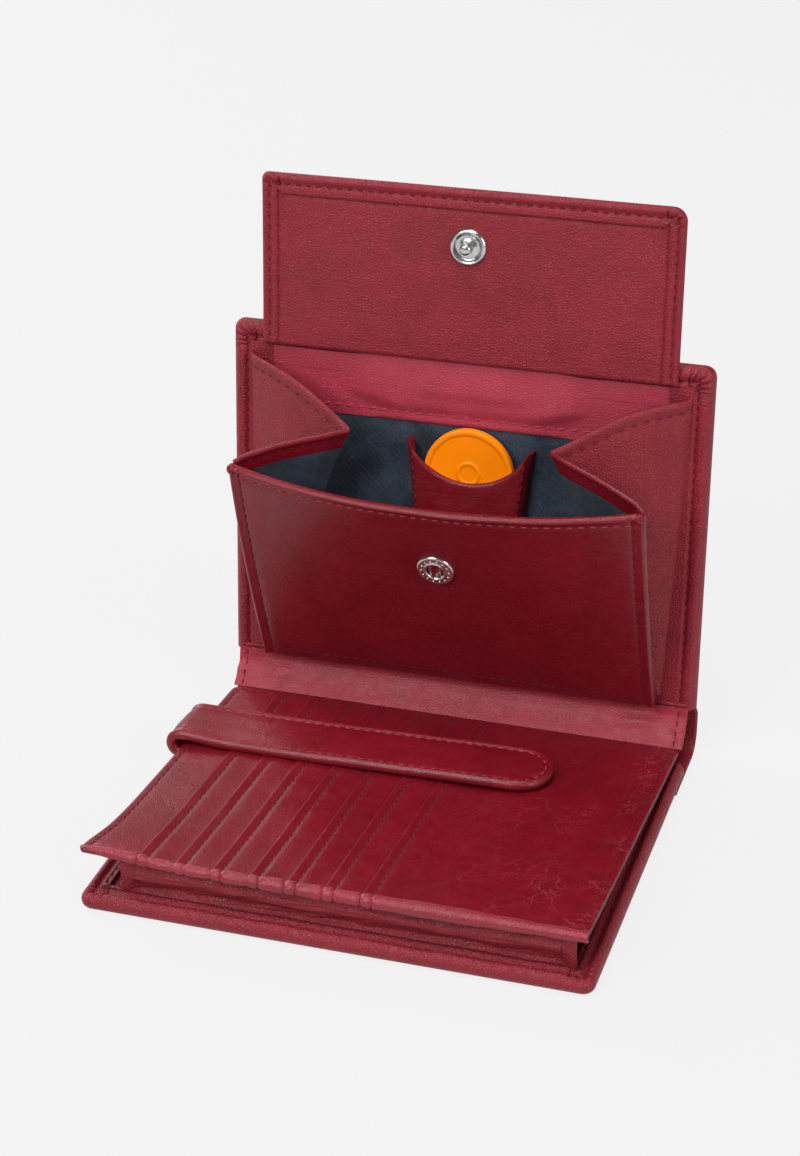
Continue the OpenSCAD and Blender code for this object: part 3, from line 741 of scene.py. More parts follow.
def spine_strip():
    """Outer strip round the spine, in two sheets that meet at the middle of the bend."""
    def place(x, k, h):
        y, z, ny, nz = spine_profile(k)
        return np.stack([x * (1 - 0.022 * smooth(0.66, 0.76, k)), y + ny * h, z + nz * h], -1)

    def inside(x, k, d):
        thick = roll(COVER_HALF - np.abs(x), 0.6) * roll(np.minimum(k, 1 - k) * 47, 0.7)
        return STRIP_T / 2 * thick

    def under_stitches(x, k, d):
        return 0.15 - inside(x, k, d)

    def outside(x, k, d):
        uneven = 0.08 * waves(x, k * 40, 12, 5) * (inside(x, k, d) > 0.3)
        return under_stitches(x, k, d) - uneven

    halves = {"spine_strip_low": (0.0, STRIP_MEET, "lower_half", "spine",
                                  ("spine_strip_lower", "spine_strip")),
              "spine_strip_high": (STRIP_MEET, 1.0, "spine", "upper_half",
                                   ("spine_strip_upper",))}
    ends = (0, 0.004, 0.012, 0.025)
    for name, (k0, k1, a, b, nodes) in halves.items():
        low = k0 == 0
        p = Piece(name, place)
        ks = lines(k0, k1, 0.02, ends if low else (), () if low else ends)
        p.sheet(lines(-COVER_HALF, COVER_HALF, 2.5, THIN), ks, inside, outside)
        k = 0.035 if low else 0.965
        p.stitches([(2 - COVER_HALF, k), (COVER_HALF - 2, k)], under_stitches, proud=-0.02,
                   width=0.34)
        o = p.make(kit("nappa"), None, nodes)
        if low:
            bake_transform(o)
        else:
            tuple(up(0, 0.65, OUTER_N) * MM)
            tuple(up(0, 3.9, OUTER_N) * MM)
            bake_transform(o)


def spine_lining():
    """Pebbled lining from the card panel's edge up to the coin box, in two sheets."""
    half, seam, thick = 60.9, 58.6, 0.45
    pts = vec((50.15, 5.9), (50.9, 6.9), (52.3, 8.6), (54.0, 10.6), (55.3, 12.6), (55.9, 14.6))
    s = np.concatenate([[0], np.cumsum(np.hypot(*np.diff(pts, axis=0).T))])

    def place(x, k, h):
        y, z = (np.interp(k * s[-1], s, v) for v in pts.T)
        ends = 0.15 + 0.85 * smooth(34, 58, np.abs(x))
        h = h + 0.5 * waves(x * 0.3 + k * 2.0, k * 8, 2.7, 8) * np.sin(pi * k) * ends
        h = h - 0.25 * bump(np.abs(x), seam, 0.5) - 0.55 * np.sin(pi * k)
        return np.stack([x, y - h * 0.74, z + h * 0.67], -1)

    def face(x, k, d):
        return thick * roll(half - np.abs(x), 0.6)

    xs = lines(-half, half, 1.1, THIN + (1.2, 1.8, 2.3, 2.8, 3.3))
    for name, k0, k1, a, b, sides in (
            ("spine_lining_low", 0, 0.5, "lower_half", "spine", "LRB"),
            ("spine_lining_high", 0.5, 1, "spine", "upper_half", "LRT")):
        p = Piece(name, place)
        p.sheet(xs, np.linspace(k0, k1, 14), face, lambda x, k, d: -face(x, k, d), rims=sides)
        for x in (-seam, seam):
            p.stitches([(x, k0), (x, k1)], thick, scale=(1, 11), width=0.36)
        o = p.make(kit("pebble"), None, ("spine_lining",) if k0 == 0 else ())
        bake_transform(o)


# ---- upper half
SHELL_LOW = 9.0


def upper_shell():
    """Padded upper cover with its sewn hem; the facing inside the hem carries the coin box."""
    o = Outline(-COVER_HALF, COVER_HALF, SHELL_LOW, COVER_TOP, r=(0, 0, CORNER_R, CORNER_R - 0.4),
                free="LRT")
    mid = (FACE_N + OUTER_N) / 2
    hem = (5.3, 6.1)  # where the hem steps down to the facing

    def top(x, t, d):
        z = FACE_N + 0.55 - 0.7 * bump(d, 3.9, 0.5) + 0.12 * bump(d, 1.8, 0.7)
        z = z - 0.75 * smooth(*hem, d) - pleats(x, t, o, 1.0) * smooth(0.1, 1.2, d)
        z = z + 0.12 * waves(x, t, 19, 4) * smooth(0.8, 2.5, d)
        return mid + (z - mid) * roll(d, COVER_T / 2)

    def bottom(x, t, d):
        pad = OUTER_N - 0.12 * waves(x, t, 34, 6) * smooth(3, 9, d) + 0.25 * bump(d, 4.1, 0.45)
        return mid - (mid - pad) * roll(d, COVER_T / 2)

    p = Piece("upper_shell", up, o)
    p.sheet(lines(-COVER_HALF, COVER_HALF, 1.8, HEM_LINES),
            lines(SHELL_LOW, COVER_TOP, 2.0, (0, 1), HEM_LINES), top, bottom,
            paint=[(lambda x, t, d: (d > hem[0]) & (d < hem[1]), DARK)])
    p.stitches(o.path(3.9, "RTL", ends=1), top, proud=0.12, width=0.5)
    knot(p, top)
    p.stitches(o.path(4.1, "RTL", ends=14), bottom, proud=-0.1)
    p.make(kit("nappa"), "upper_half", ("upper_cover", "upper_lining"))


def gusset_margins():
    """Leather between the cover's hem and each gusset, with a patch under the gusset's top."""
    p = Piece("gusset_margins")
    for side in (-1, 1):
        def place(k, t, h):
            gone = (t - FRONT_SEAM) / (LEAF_TOP_T - FRONT_SEAM)
            inner = LEAF_X - 2.5 + gone * (LEAF_OUT_X - LEAF_X)
            return up(side * (inner * (1 - k) + 57.3 * k), t, h)

        p.place = place
        p.sheet(np.linspace(0, 1, 7), lines(SHELL_LOW, 92.5, 2.0, THIN),
                lambda k, t, d: FACE_N + 0.9 - 0.25 * k, FACE_N)
        p.place = lambda k, t, h: up(side * (51.5 + 6.2 * k), t, h)
        p.sheet(lines(0, 1, 0.1), lines(85.0, 95.0, 0.8),
                lambda k, t, d: FACE_N + 0.4 + 0.25 * k, FACE_N)
    p.make(kit("nappa"), "upper_half")


def coin_box_welt():
    """Narrow welt along the foot of the coin box."""
    half, low, high = 60.6, 8.2, 11.0
    o = Outline(-half, half, low, high, r=(0.8, 0.8, 0.8, 0.8))

    def rise(x, t, d):
        body = (1.5 - 0.45 * bump(t, 9.9, 0.45)) * roll(d, 0.9)
        return FACE_N - 0.3 + body + 0.12 * waves(x, t, 8, 12)

    p = Piece("coin_box_welt", up, o)
    p.sheet(lines(-half, half, 1.4, THIN), lines(low, high, 0.35, THIN), rise, FACE_N - 0.5)
    p.stitches(o.path(1.1, "T"), rise)
    p.make(kit("nappa"), "upper_half")


BAND_LOW = BACK_SEAM - 0.4
BAND_ROW = BAND_LOW + 2.3
BAND_PITCH = 3.1
BAND_SPLIT = 89.4
CREASE_T = 95.0
BACK_HALF = 56.2


def band_surface(x, t):
    """Soft leather of the back wall, from its stitched lower edge up to the flap's lower edge."""
    seam = -0.4 * bump(t, BAND_ROW, 0.55) * (0.7 + 0.3 * np.cos(2 * pi * x / BAND_PITCH))
    swell = smooth(BAND_LOW + 1.5, BAND_LOW + 5.5, t) - smooth(BAND_LOW + 4, CREASE_T + 1, t)
    soft = 0.2 * waves(x, t, 30, 23) + 0.12 * waves(x, t * 0.6, 13, 24)
    folds = 0.7 * np.maximum(0, waves(x + t * 1.1, t * 0.3, 33, 29))
    folds = folds * smooth(BAND_LOW + 5, BAND_LOW + 11, t) * smooth(45, 32, np.abs(x))
    flat_ends = smooth(23, 33, np.abs(x) + 6 * smooth(85, 81, t))
    by_chip = smooth(16, 11, np.abs(x - CHIP_X)) * smooth(BAND_LOW + 9, BAND_LOW + 6, t)
    raised = 0.85 + 0.5 * swell - 0.4 * by_chip + folds
    raised = raised + soft * smooth(BAND_LOW + 1, BAND_LOW + 6, t)
    return FACE_N + seam * (1 - 0.7 * flat_ends) + raised * (1 - flat_ends) + 0.08 * flat_ends


def coin_back():
    """Back wall of the coin box: the dark lining and the leather band sewn above it."""
    xs = lines(-BACK_HALF, BACK_HALF, 1.2)
    p = Piece("coin_back_cloth", up)
    p.sheet(lines(-BACK_HALF, BACK_HALF, 2),
            lines(FRONT_SEAM + 0.3, BACK_SEAM + 1.5, 2, (0,), (0, 1.0, 1.9, 2.9)),
            lambda x, t, d: (FACE_N + 0.1 + 0.05 * waves(x, t, 16, 21)
                             - 0.3 * smooth(BACK_SEAM - 1.4, BACK_SEAM - 0.4, t)),
            FACE_N - 0.4)
    obj = p.make([MAT["cloth"]], "upper_half", ("coin_back_lining",))

    def face(x, t, d):
        return FACE_N + 0.1 + (band_surface(x, t) - FACE_N - 0.1) * roll(d, 0.8)

    p = Piece("coin_back_band", up, Outline(-BACK_HALF, BACK_HALF, BAND_LOW, BAND_SPLIT, free="B"))
    p.sheet(xs, lines(BAND_LOW, BAND_SPLIT, 0.9, THIN, ()), face, FACE_N - 0.1, rims="LRB")
    p.stitches([(2 - BACK_HALF, BAND_ROW), (BACK_HALF - 2, BAND_ROW)], face, mat=LIGHT_THREAD,
               pitch=BAND_PITCH, length=2.3, proud=0.16, width=0.55, lean=0.25, holes=False)
    obj = p.make(kit("band"), None, ("coin_back_strip", "flap_fold"))
    tuple(up(0, FOLD_T - 1.5, FLAP_N) * MM)
    tuple(up(0, FOLD_T + 1.5, FLAP_N) * MM)
    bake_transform(obj)

    def narrowed(x, t):
        """The root of the flap is as wide as the band below and as the flap above."""
        return x * (1 - (1 - (FLAP_HALF - 1.0) / BACK_HALF) * smooth(BAND_SPLIT, CREASE_T, t))

    p = Piece("flap_root_band", lambda x, t, h: up(narrowed(x, t), t, h))
    p.sheet(xs, lines(BAND_SPLIT, CREASE_T + 1.0, 0.6),
            lambda x, t, d: band_surface(narrowed(x, t), t), FLAP_N - 0.1, rims="LR")
    obj = p.make(kit("band"))
    tuple(up(0, FLAP_LOW - 1.5, FLAP_N) * MM)
    tuple(up(0, FLAP_LOW + 1.7, FLAP_N) * MM)
    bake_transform(obj)


# ---- flap
def flap():
    """Flap: turned border with its stitches round a sunk facing, and a rolled lower edge."""
    box = (-FLAP_HALF, FLAP_HALF, CREASE_T, FLAP_TOP)
    o = Outline(*box, r=(0.5, 0.5, 3.6, 1.8))
    side_o = Outline(*box, r=(0, 0, 3.6, 1.8), free="LRT")
    mid = FLAP_N + FLAP_T / 2
    row_t = FLAP_TOP - 2.7

    def bend(x, t):
        return 0.35 * waves(x, t, 60, 31) * smooth(CREASE_T, CREASE_T + 12, t)

    def top(x, t, d):
        e = side_o.dist(x, t)
        wide = np.where(FLAP_TOP - t < FLAP_HALF - np.abs(x), 1.3, 1.0)
        border = 0.25 - 0.42 * bump(e, 2.0 * wide, 0.45) + 0.25 * bump(e, 0.9 * wide, 0.6)
        facing = -0.3 + 0.14 * waves(x, t, 18, 33) + 0.3 * smooth(8, 26, e)
        facing = facing + 0.07 * waves(x * 0.25, t, 2.1, 37) * smooth(120, 100, t)
        step = smooth(4.0 * wide, 4.0 * wide + 0.3, e)
        z = FLAP_N + FLAP_T + border * (1 - step) + facing * step
        z = z - 0.3 * bump(e, 4.15 * wide, 0.2)
        z = z - pleats(x, t, side_o, 0.8, reach=5.0) * smooth(0.2, 1.0, e)
        return mid + (z - mid) * roll(d, 0.95) + bend(x, t)

    def bottom(x, t, d):
        return mid - (mid - FLAP_N) * roll(d, 0.95) + bend(x, t)

    p = Piece("flap_shell", up, o)
    fine = (0, 0.05, 0.2, 0.5, 0.9, 1.3, 1.7, 2.0, 2.4, 2.8, 3.3, 4.0, 4.3, 4.7, 5.2, 5.5, 5.9)
    p.sheet(lines(-FLAP_HALF, FLAP_HALF, 1.6, fine),
            lines(CREASE_T, FLAP_TOP, 1.2, (0, 0.05, 0.2, 0.5, 0.9, 1.4), fine), top, bottom)
    for x in (FLAP_HALF - 2.0, 2.0 - FLAP_HALF):
        p.stitches([(x, CREASE_T + 1.5), (x, FLAP_TOP - 4)], top)
    p.stitches([(3 - FLAP_HALF, row_t), (FLAP_HALF - 5, row_t)], top, width=0.5)
    p.make(kit("nappa"), "flap", ("flap_leather", "flap_facing"))


def press_studs():
    """Stud of the flap, ring of the coin box front with its spring wire and a plain bead row."""
    p = Piece("flap_press_stud")
    r = STUD_D / 2
    post = [(0, 0.5), (1.2, 0.5), (1.55, 0.75), (1.25, 1.2), (0.95, 1.7), (0.95, 2.1), (1.25, 2.35),
            (1.5, 2.75), (1.35, 3.25), (0.8, 3.55), (0, 3.62)]
    flange = [(0, 0.5), (1.9, 0.5), (2.2, 0.32), (2.9, 0.3), (3.3, 0.42), (3.6, 0.8), (3.95, 0.95),
              (4.3, 0.85), (4.5, 0.6), (r, 0.35), (r + 0.02, 0.1), (r, -0.3)]
    for profile in (post, flange):
        p.lathe(profile[::-1], up(0, STUD_UP, FLAP_N + FLAP_T - 0.2), up_dir(0, 0, 1))
    p.make([MAT["metal"]], "flap", ("flap_stud",))

    p = Piece("coin_press_ring")
    base = FRONT_T / 2 + front_bow(0, SOCKET_UP) - 0.1
    c = front(0, SOCKET_UP, base)
    a = front(0, SOCKET_UP, base + 1) - c
    u = front(1, SOCKET_UP, base) - c
    v = np.cross(a, u)
    ring = [(2.25, -0.6), (2.25, 0.5), (2.35, 0.85), (2.6, 1.0), (2.9, 0.92), (3.1, 0.75),
            (3.85, 0.68), (4.35, 0.72), (4.65, 0.6), (4.82, 0.3), (4.85, 0.0), (4.8, -0.3)]
    p.lathe(ring[::-1], c, a)
    p.lathe([(2.35, -0.5), (0, -0.5)], c, a, mat=1)
    beads = 14
    for ang in np.arange(beads) * 2 * pi / beads:
        at = c + (u * cos(ang) + v * sin(ang)) * 3.55 + a * 0.72
        p.lathe([(0, 0.19), (0.14, 0.16), (0.24, 0.08), (0.26, -0.1)], at, a, spokes=10)
    for side in (-1, 1):
        start = c + u * 1.25 * side - v * 1.9 + a * 0.25
        p.lathe([(0, 3.8), (0.2, 3.78), (0.2, 0.02), (0, 0)], start, v, spokes=10, ref=a)
    p.make([MAT["metal"], MAT["cloth"]], "coin_front", ("coin_socket",))


# ---- coin box
BOW = 4.0
MARGIN_X = 57.4  # how far out a gusset's fold may lie on the cover


def front_bow(x, y):
    """The opened front bows out at the middle of its free edge and is held back at its sides."""
    k = np.clip(np.abs(x) / FRONT_HALF, 0, 1.05)
    return BOW * (np.clip(y, 0, FRONT_H + 2) / FRONT_H) ** 2.6 * (1 - 2 * k**2.2)


def coin_front():
    """Front of the coin box: piped rim, stitch rows, dimple round the snap and a lining."""
    foot = 0.3
    o = Outline(-FRONT_HALF, FRONT_HALF, foot, FRONT_H, r=(0, 0, 1.2, 1.2), free="LRT")

    def top(x, y, d):
        e = FRONT_H - y
        w = FRONT_HALF - np.abs(x)
        pipe = 0.5 * bump(e, 0.8, 0.6) + 0.35 * bump(w, 0.8, 0.6)
        groove = 0.22 * bump(e, 1.7, 0.3) + 0.2 * bump(e, 2.7, 0.4) + 0.28 * bump(w, 3.0, 0.45)
        dimple = 0.35 * bump(np.hypot(x, y - SOCKET_UP), 5.2, 1.6)
        z = FRONT_T / 2 + pipe - groove - dimple + 0.14 * waves(x, y, 24, 41)
        return z * roll(d, 0.9) + front_bow(x, y)

    def bottom(x, y, d):
        return (-FRONT_T / 2 - 0.4 * bump(FRONT_H - y, 1.1, 1.0)) * roll(d, 0.9) + front_bow(x, y)

    def lining(x, y, d):
        return -FRONT_T / 2 - 0.1 + front_bow(x, y)

    p = Piece("coin_front_shell", front, o)
    fine = THIN + (1.1, 1.6, 2.1, 2.6, 3.0, 3.4, 4.0)
    p.sheet(lines(-FRONT_HALF, FRONT_HALF, 1.6, fine), lines(foot, FRONT_H, 1.6, (0, 0.5), fine),
            top, bottom)
    rows = [(FRONT_HALF - 2.5, FRONT_H - 2.7, LIGHT_THREAD, 0.4),
            (FRONT_HALF - 3.5, 2.8, THREAD, 0.42)]
    for half, y, mat, width in rows:
        p.stitches([(-half, y), (half, y)], top, mat=mat, width=width)
    for x in (3 - FRONT_HALF, FRONT_HALF - 3):
        p.stitches([(x, 1.5), (x, FRONT_H - 1)], top)
    p.sheet(lines(-FRONT_HALF + 2, FRONT_HALF - 2, 3), lines(1, FRONT_H - 6, 3), lining,
            lambda x, y, d: lining(x, y, d) - 0.3, mat=LINING)
    coil = [(0, 0.75), (0.25, 0.8), (0.45, 0.55), (0.7, 0.8), (0.95, 0.75), (1.25, 0.4),
            (1.3, 0.0), (1.2, -0.4)]
    for side in (-1, 1):
        end = front(side * (FRONT_HALF - 1.1), FRONT_H - 1.0, FRONT_T / 2 - BOW + 0.35)
        p.lathe(coil[::-1], end, front(0.5 * side, 0.6, 1) - front(0, 0, 0), spokes=20)
    obj = p.make(kit("front"), "coin_front", ("coin_front", "coin_front_lining"))
    tuple(front(0, 0, 0) * MM)
    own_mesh(obj)


def coin_box_bottom():
    """Turned edge that closes the coin box below, from the back wall out to its front's foot."""
    def place(x, k, h):
        low = 10.4 + 0.35 * k - 0.2 * np.sin(pi * k)
        return up(x, low - h, 1.25 + 3.1 * k + 0.12 * h)

    def thick(x, k, d):
        return 0.3 - 0.1 * np.abs(2 * k - 1) + 0 * x

    p = Piece("coin_box_bottom", place)
    p.sheet(lines(-50.5, 50.5, 3), np.linspace(0, 1, 8), thick, lambda x, k, d: -thick(x, k, d))
    p.make(kit("front"), "upper_half")


def ridge_dir(side_dir, front_dir, sector):
    """A gusset's ridge, at its own angle from the front's fold and at sector from the cover's."""
    k = side_dir @ front_dir
    a = (cos(sector) - k * cos(RIDGE_ANGLE)) / (1 - k * k)
    b = (cos(RIDGE_ANGLE) - k * cos(sector)) / (1 - k * k)
    n = np.cross(side_dir, front_dir)
    c = sqrt(max(0, 1 - (a * a + b * b + 2 * a * b * k))) / np.linalg.norm(n)
    return a * side_dir + b * front_dir + c * n


def gusset(side):
    """Two soft leaves that fold inwards between the cover and the coin box front."""
    tilt = atan2(LEAF_OUT_X - LEAF_X, LEAF_TOP_T - FRONT_SEAM)
    sector = RIDGE_ANGLE + tilt
    along = vec(-sin(tilt), cos(tilt), 0)
    inward = vec(cos(tilt), sin(tilt), 0)
    lift = vec(0, cos(FRONT_OPEN), sin(FRONT_OPEN))
    back = vec(0, sin(FRONT_OPEN), -cos(FRONT_OPEN))
    ridge = ridge_dir(along, lift, sector)
    outer_angle = atan2(ridge[2], ridge @ inward)
    inner_angle = atan2(ridge @ back, ridge[0])
    outer_in = inward * cos(outer_angle) + vec(0, 0, 1) * sin(outer_angle)
    inner_in = vec(1, 0, 0) * cos(inner_angle) + back * sin(inner_angle)
    outer_at = up(side * LEAF_X, FRONT_SEAM, LEAF_N)
    inner_at = front(side * FRONT_HALF, 0, INNER_LEAF_N - FRONT_AXIS_N)
    gap = inner_at - outer_at

    def turn(v):
        return up_dir(-side * v[0], v[1], v[2])

    leaf(side, True, outer_at, turn(along), turn(outer_in),
         (LEAF_TOP_T - FRONT_SEAM) / cos(tilt), sector, gap, tilt)
    leaf(side, False, inner_at, turn(lift), turn(inner_in), FRONT_H, RIDGE_ANGLE, gap, tilt)


def leaf(side, outer, origin, e_up, e_in, side_l, angle, gap, tilt):
    """A gusset's leaf: e_up runs along its fold, e_in towards its ridge, gap to the other leaf."""
    e_n = np.cross(e_in, e_up)
    out = up_dir(0, 0, 1) if outer else FRONT_NORMAL
    e_n = e_n * np.sign(e_n @ out) / np.linalg.norm(e_n)

    def place(k, s, h):
        """k runs from the fold (0) to the ridge (1), s from the lower corner (0) to the top (1)."""
        arch = np.sin(pi * k)
        reach = 0.03 + 0.97 * s
        a = side_l * reach
        b = RIDGE_L * reach
        q = a * (1 - k) + b * cos(angle) * k + (1.6 if outer else 0.5) * arch * s
        p = b * sin(angle) * k
        if outer:
            p = p + np.maximum(0, LEAF_X + a * sin(tilt) - MARGIN_X) * (1 - smooth(0, 0.4, k))
            h = h - 0.95 * (1 - smooth(0, 0.06, k))
            taller = smooth(-0.1, 0.55, k)
        else:
            p = p + 1.0 - smooth(0, 0.15, k)
            taller = k
        belly = (1.1 if outer else -0.6) * np.sin(pi * np.clip(s, 0, 1) ** 1.5)
        h = h + (belly + 0.15 * waves(k * 25, s * 70, 20, 51)) * arch
        taller = 2.4 * s**3 * taller
        p, q = p + taller * sin(angle), q + taller * cos(angle)
        v = e_in * p[..., None] + e_up * q[..., None] + e_n * h[..., None]
        meet = (0.53 if outer else -0.53) * smooth(0.86, 1.0, k)
        tip = (0.2 if side > 0 else 2.2) * s**3 * smooth(0.3, 1.0, k)
        v = v + gap * meet[..., None] + up_dir(-side, 0, 0) * tip[..., None]
        if not outer:
            held = front_bow(FRONT_HALF, q) * (1 - k) ** 1.2 + 0.95 * (1 - smooth(0, 0.12, k))
            v = v + FRONT_NORMAL * held[..., None]
        return origin + v

    rim = 70.0  # from the lower corner to the rim, in millimetres
    row = 1 - 2.6 / rim
    half = LEAF_T / 2

    def hem(s):
        e = (1 - s) * rim
        return 0.22 * bump(e, 1.0, 0.8) - 0.2 * bump(e, 2.6, 0.4)

    def face(k, s, d):
        return (half + hem(s)) * roll((1 - s) * rim, 0.8)

    def other(k, s, d):
        return -(0.55 * half + 0.5 * hem(s)) * roll((1 - s) * rim, 0.8)

    def lined(start):
        return [(lambda k, s, d: (s < 1 - GUSSET_BAND / rim) & (k > start), LINING)]

    navy, ridge = lined(0.05), lined(0.985)
    word = f"gusset_{'right' if side > 0 else 'left'}_{'outer' if outer else 'inner'}"
    p = Piece(f"{word}_leaf", place)
    p.sheet(lines(0, 1, 0.06, (0, 0.01, 0.03), (0, 0.01, 0.02)),
            lines(0, 1, 0.03, (), (0, 0.001, 0.003, 0.007, 0.011, 0.016, 0.024, 0.033, 0.04, 0.05,
                                   0.0785, 0.086)),
            face, other, paint=ridge if outer else navy, paint_back=navy if outer else ridge)
    for proud, f in ((0.1, face), (-0.1, other)):
        p.stitches([(0.04, row), (0.96, row)], f, proud=proud, scale=(30, 30))
    p.make(kit("nappa" if outer else "front"), f"{word}_leaf", (word, f"{word}_lining"))


def trolley_disc():
    """Loose shopping trolley disc in the pouch, with a raised rim and hub."""
    p = Piece("trolley_disc")
    r, t = CHIP_D / 2, CHIP_T
    face = [(r, t - 0.25), (r - 0.12, t - 0.08), (r - 0.35, t), (r - 1.2, t), (r - 1.45, t - 0.12),
            (r - 1.6, t - 0.3), (3.3, t - 0.3), (3.1, t - 0.12), (2.7, t - 0.08), (2.3, t - 0.12),
            (2.1, t - 0.3), (0, t - 0.3)]
    back = [(0, 0.3), (r - 1.6, 0.3), (r - 1.2, 0), (r - 0.35, 0), (r, 0.25)]
    p.lathe((back + face)[::-1], up(CHIP_X, CHIP_LOW + r, POUCH_N - 0.2 - t), up_dir(0, 0, 1))
    p.make([MAT["chip"]], "chip", ("trolley_chip",), smooth_angle=radians(40))


def chip_pouch():
    """Pouch on the back wall, with a crescent edge for the disc's rim."""
    top_w, low_w, tip, dip = 33.0, 28.0, 74.0, 9.5
    low = CHIP_LOW - 2.3
    half = top_w / 2 - 1
    rc = (half * half + dip * dip) / (2 * dip)

    def place(k, s, h):
        """k from -1 to 1 across, s from the bottom seam (0) to the crescent edge (1)."""
        x = k * (low_w / 2 + (top_w - low_w) / 2 * s)
        crescent = tip - dip + rc - np.sqrt(np.maximum(rc * rc - x * x, 0))
        edge = np.where(np.abs(x) < half, crescent, tip)
        return up(CHIP_X + x, low + (edge - low) * s, h)

    def dome(k, s):
        side = roll(1 - np.abs(k), 0.16) * roll(s, 0.1) * (1 - 0.12 * s * (1 - k * k))
        return FACE_N + 1.1 + (POUCH_N - FACE_N - 1.1) * side

    def outer(k, s, d):
        thick = 0.9 * roll(np.minimum(1 - np.abs(k), 1.0), 0.03) * roll(1 - s, 0.03)
        return dome(k, s) + thick + 0.1 * waves(k * 16, s * 20, 9, 61)

    def inner(k, s, d):
        room = smooth(0.9, 0.8, np.abs(k)) * smooth(0.02, 0.1, s)
        return np.minimum(dome(k, s) - 0.05, FACE_N + 0.35 + 10 * room)

    p = Piece("chip_pouch", place)
    p.sheet(lines(-1, 1, 0.05, (0, 0.006, 0.02, 0.05, 0.09, 0.13, 0.17)),
            lines(0, 1, 0.06, (0, 0.02, 0.05, 0.1), (0, 0.005, 0.02)), outer, inner)
    for k in (-0.9, 0.9):
        p.stitches([(k, 0.04), (k, 0.93)], outer, width=0.5, scale=(15, 20))
    p.make(kit("front"), "upper_half", ("chip_pocket",))


# ---- card panel
def panel_warp(x, y):
    """Unevenness of the whole panel: a lifted front left corner and a gentle sag."""
    front_k = smooth(-60, -PANEL_D, y)
    left_k = smooth(-30, -PANEL_HALF, x)
    sag = 0.27 * smooth(0, 20, -y) * smooth(PANEL_D, 70, -y)
    return 1.3 * front_k**2 * left_k**1.5 + 0.3 * waves(x, y, 70, 71) - sag


def on_panel(x, y, z):
    flare = 1.3 * smooth(-80, -PANEL_D, y) ** 1.5 * smooth(-46, -PANEL_HALF, x)
    return panel(x - flare, y, z + panel_warp(x, y))


# The panel's right side rim gets the dark, unglossy edge slot: painted shade, so that the lamp from
# the right does not light it up.
DARK_RIGHT_RIM = [(lambda x, y, d: (d <= 0) & (x > PANEL_HALF - 0.3), DARK)]
SEAM_Y = -2.2  # the seam along the panel's spine edge


def pocket_x(i):
    """Left edge of a pocket ply."""
    return -PANEL_HALF + POCKET_MARGIN + i * POCKET_PITCH


def card_panel():
    """Carrying ply with its bound edges, then the pocket plies on it and the front binding."""
    fine = THIN + (1.3, 1.9, 2.5)
    back = -0.3
    o = Outline(-PANEL_HALF, PANEL_HALF, -PANEL_D, back, r=(1.0, 1.0, 3.0, 3.0))

    def top(x, y, d):
        return PLY_T * 0.9 - 0.6 * (1 - roll(d, 0.7)) - 0.14 * bump(d, 1.9, 0.4)

    p = Piece("panel_ply", on_panel, o)
    p.sheet(lines(-PANEL_HALF, PANEL_HALF, 1.8, fine), lines(-PANEL_D, back, 1.8, fine), top,
            lambda x, y, d: -0.5 - 0.5 * roll(d, 0.6), paint=DARK_RIGHT_RIM)
    p.stitches(o.path(1.9, "L", ends=1), top)
    p.stitches([(2 - PANEL_HALF, SEAM_Y), (pocket_x(0), SEAM_Y)], top)
    p.make(kit("smooth"), "card_panel", ("card_base",))
    for i in range(POCKETS):
        pocket(i)
    binding()


def pocket(i):
    """One pocket ply: a raised, stitched edge at its left and flat under the next one."""
    x0 = pocket_x(i)
    last = i == POCKETS - 1
    x1 = PANEL_HALF if last else x0 + POCKET_PITCH + 3.0
    y0, y1 = -PANEL_D + 0.4, -0.5
    o = Outline(x0, x1, y0, y1, r=(0, 0.8, 3.0 if last else 0, 0.6),
                free="LRTB" if last else "LTB")

    def top(x, y, d):
        e = x - x0
        raised = 1.6 * PLY_T + 0.22 * bump(e, 0.6, 0.5) - 0.2 * bump(e, 2.6, 0.45)
        ramp = smooth(3.4, 9.0, e)
        z = raised * (1 - ramp) + (PLY_T * 0.85 + 0.1) * ramp
        if last:
            z = z + 0.25 * smooth(6, 20, e) - 0.15 * bump(np.minimum(d, 9), 2.1, 0.45)
            z = z + 0.12 * waves(x, y, 26, 83)
        z = z * (0.5 + 0.5 * smooth(0.6, 7, -y)) - 0.2 * bump(-y, -SEAM_Y, 0.5) * (e > 1)
        body = 0.3 + (z - 0.3) * roll(np.where(e < 1.2, e, d), 0.55)
        return body + 0.1 * waves(x, y, 15, 80 + i)

    def bottom(x, y, d):
        e = x - x0
        lifted = 0.9 * PLY_T * (1 - smooth(3.8, 6, e)) * smooth(0.6, 7, -y)
        return lifted + 0.1 * waves(x, y, 15, 80 + i) * (e < 4)

    p = Piece(f"pocket_ply_{i + 1}", on_panel, o)
    xs = lines(x0, x1, 1.7, THIN + (1.2, 1.8, 2.3, 2.6, 2.9, 3.4, 4.2),
               THIN + (1.2, 1.8, 2.4) if last else ())
    ys = lines(y0, y1, 2.0, THIN, THIN + (1.2, 1.8, 2.4))
    p.sheet(xs, ys, top, bottom, paint=DARK_RIGHT_RIM)
    stop = PANEL_HALF - 3 if last else x0 + POCKET_PITCH
    rows = [((x0 + 2.6, y0 + 0.5), (x0 + 2.6, y1 - 1)), ((x0 + 1.5, SEAM_Y), (stop, SEAM_Y))]
    if last:
        rows.append(((PANEL_HALF - 2.1, -3), (PANEL_HALF - 2.1, y0 + 1)))
    for row in rows:
        p.stitches(row, top)
    if last:
        p.stitches([(x0 + 3, y0 + 1.2), (PANEL_HALF - 2, y0 + 1.2)], top, width=0.3)
    p.make(kit("smooth"), "card_panel", (f"card_pocket_{i + 1}",))


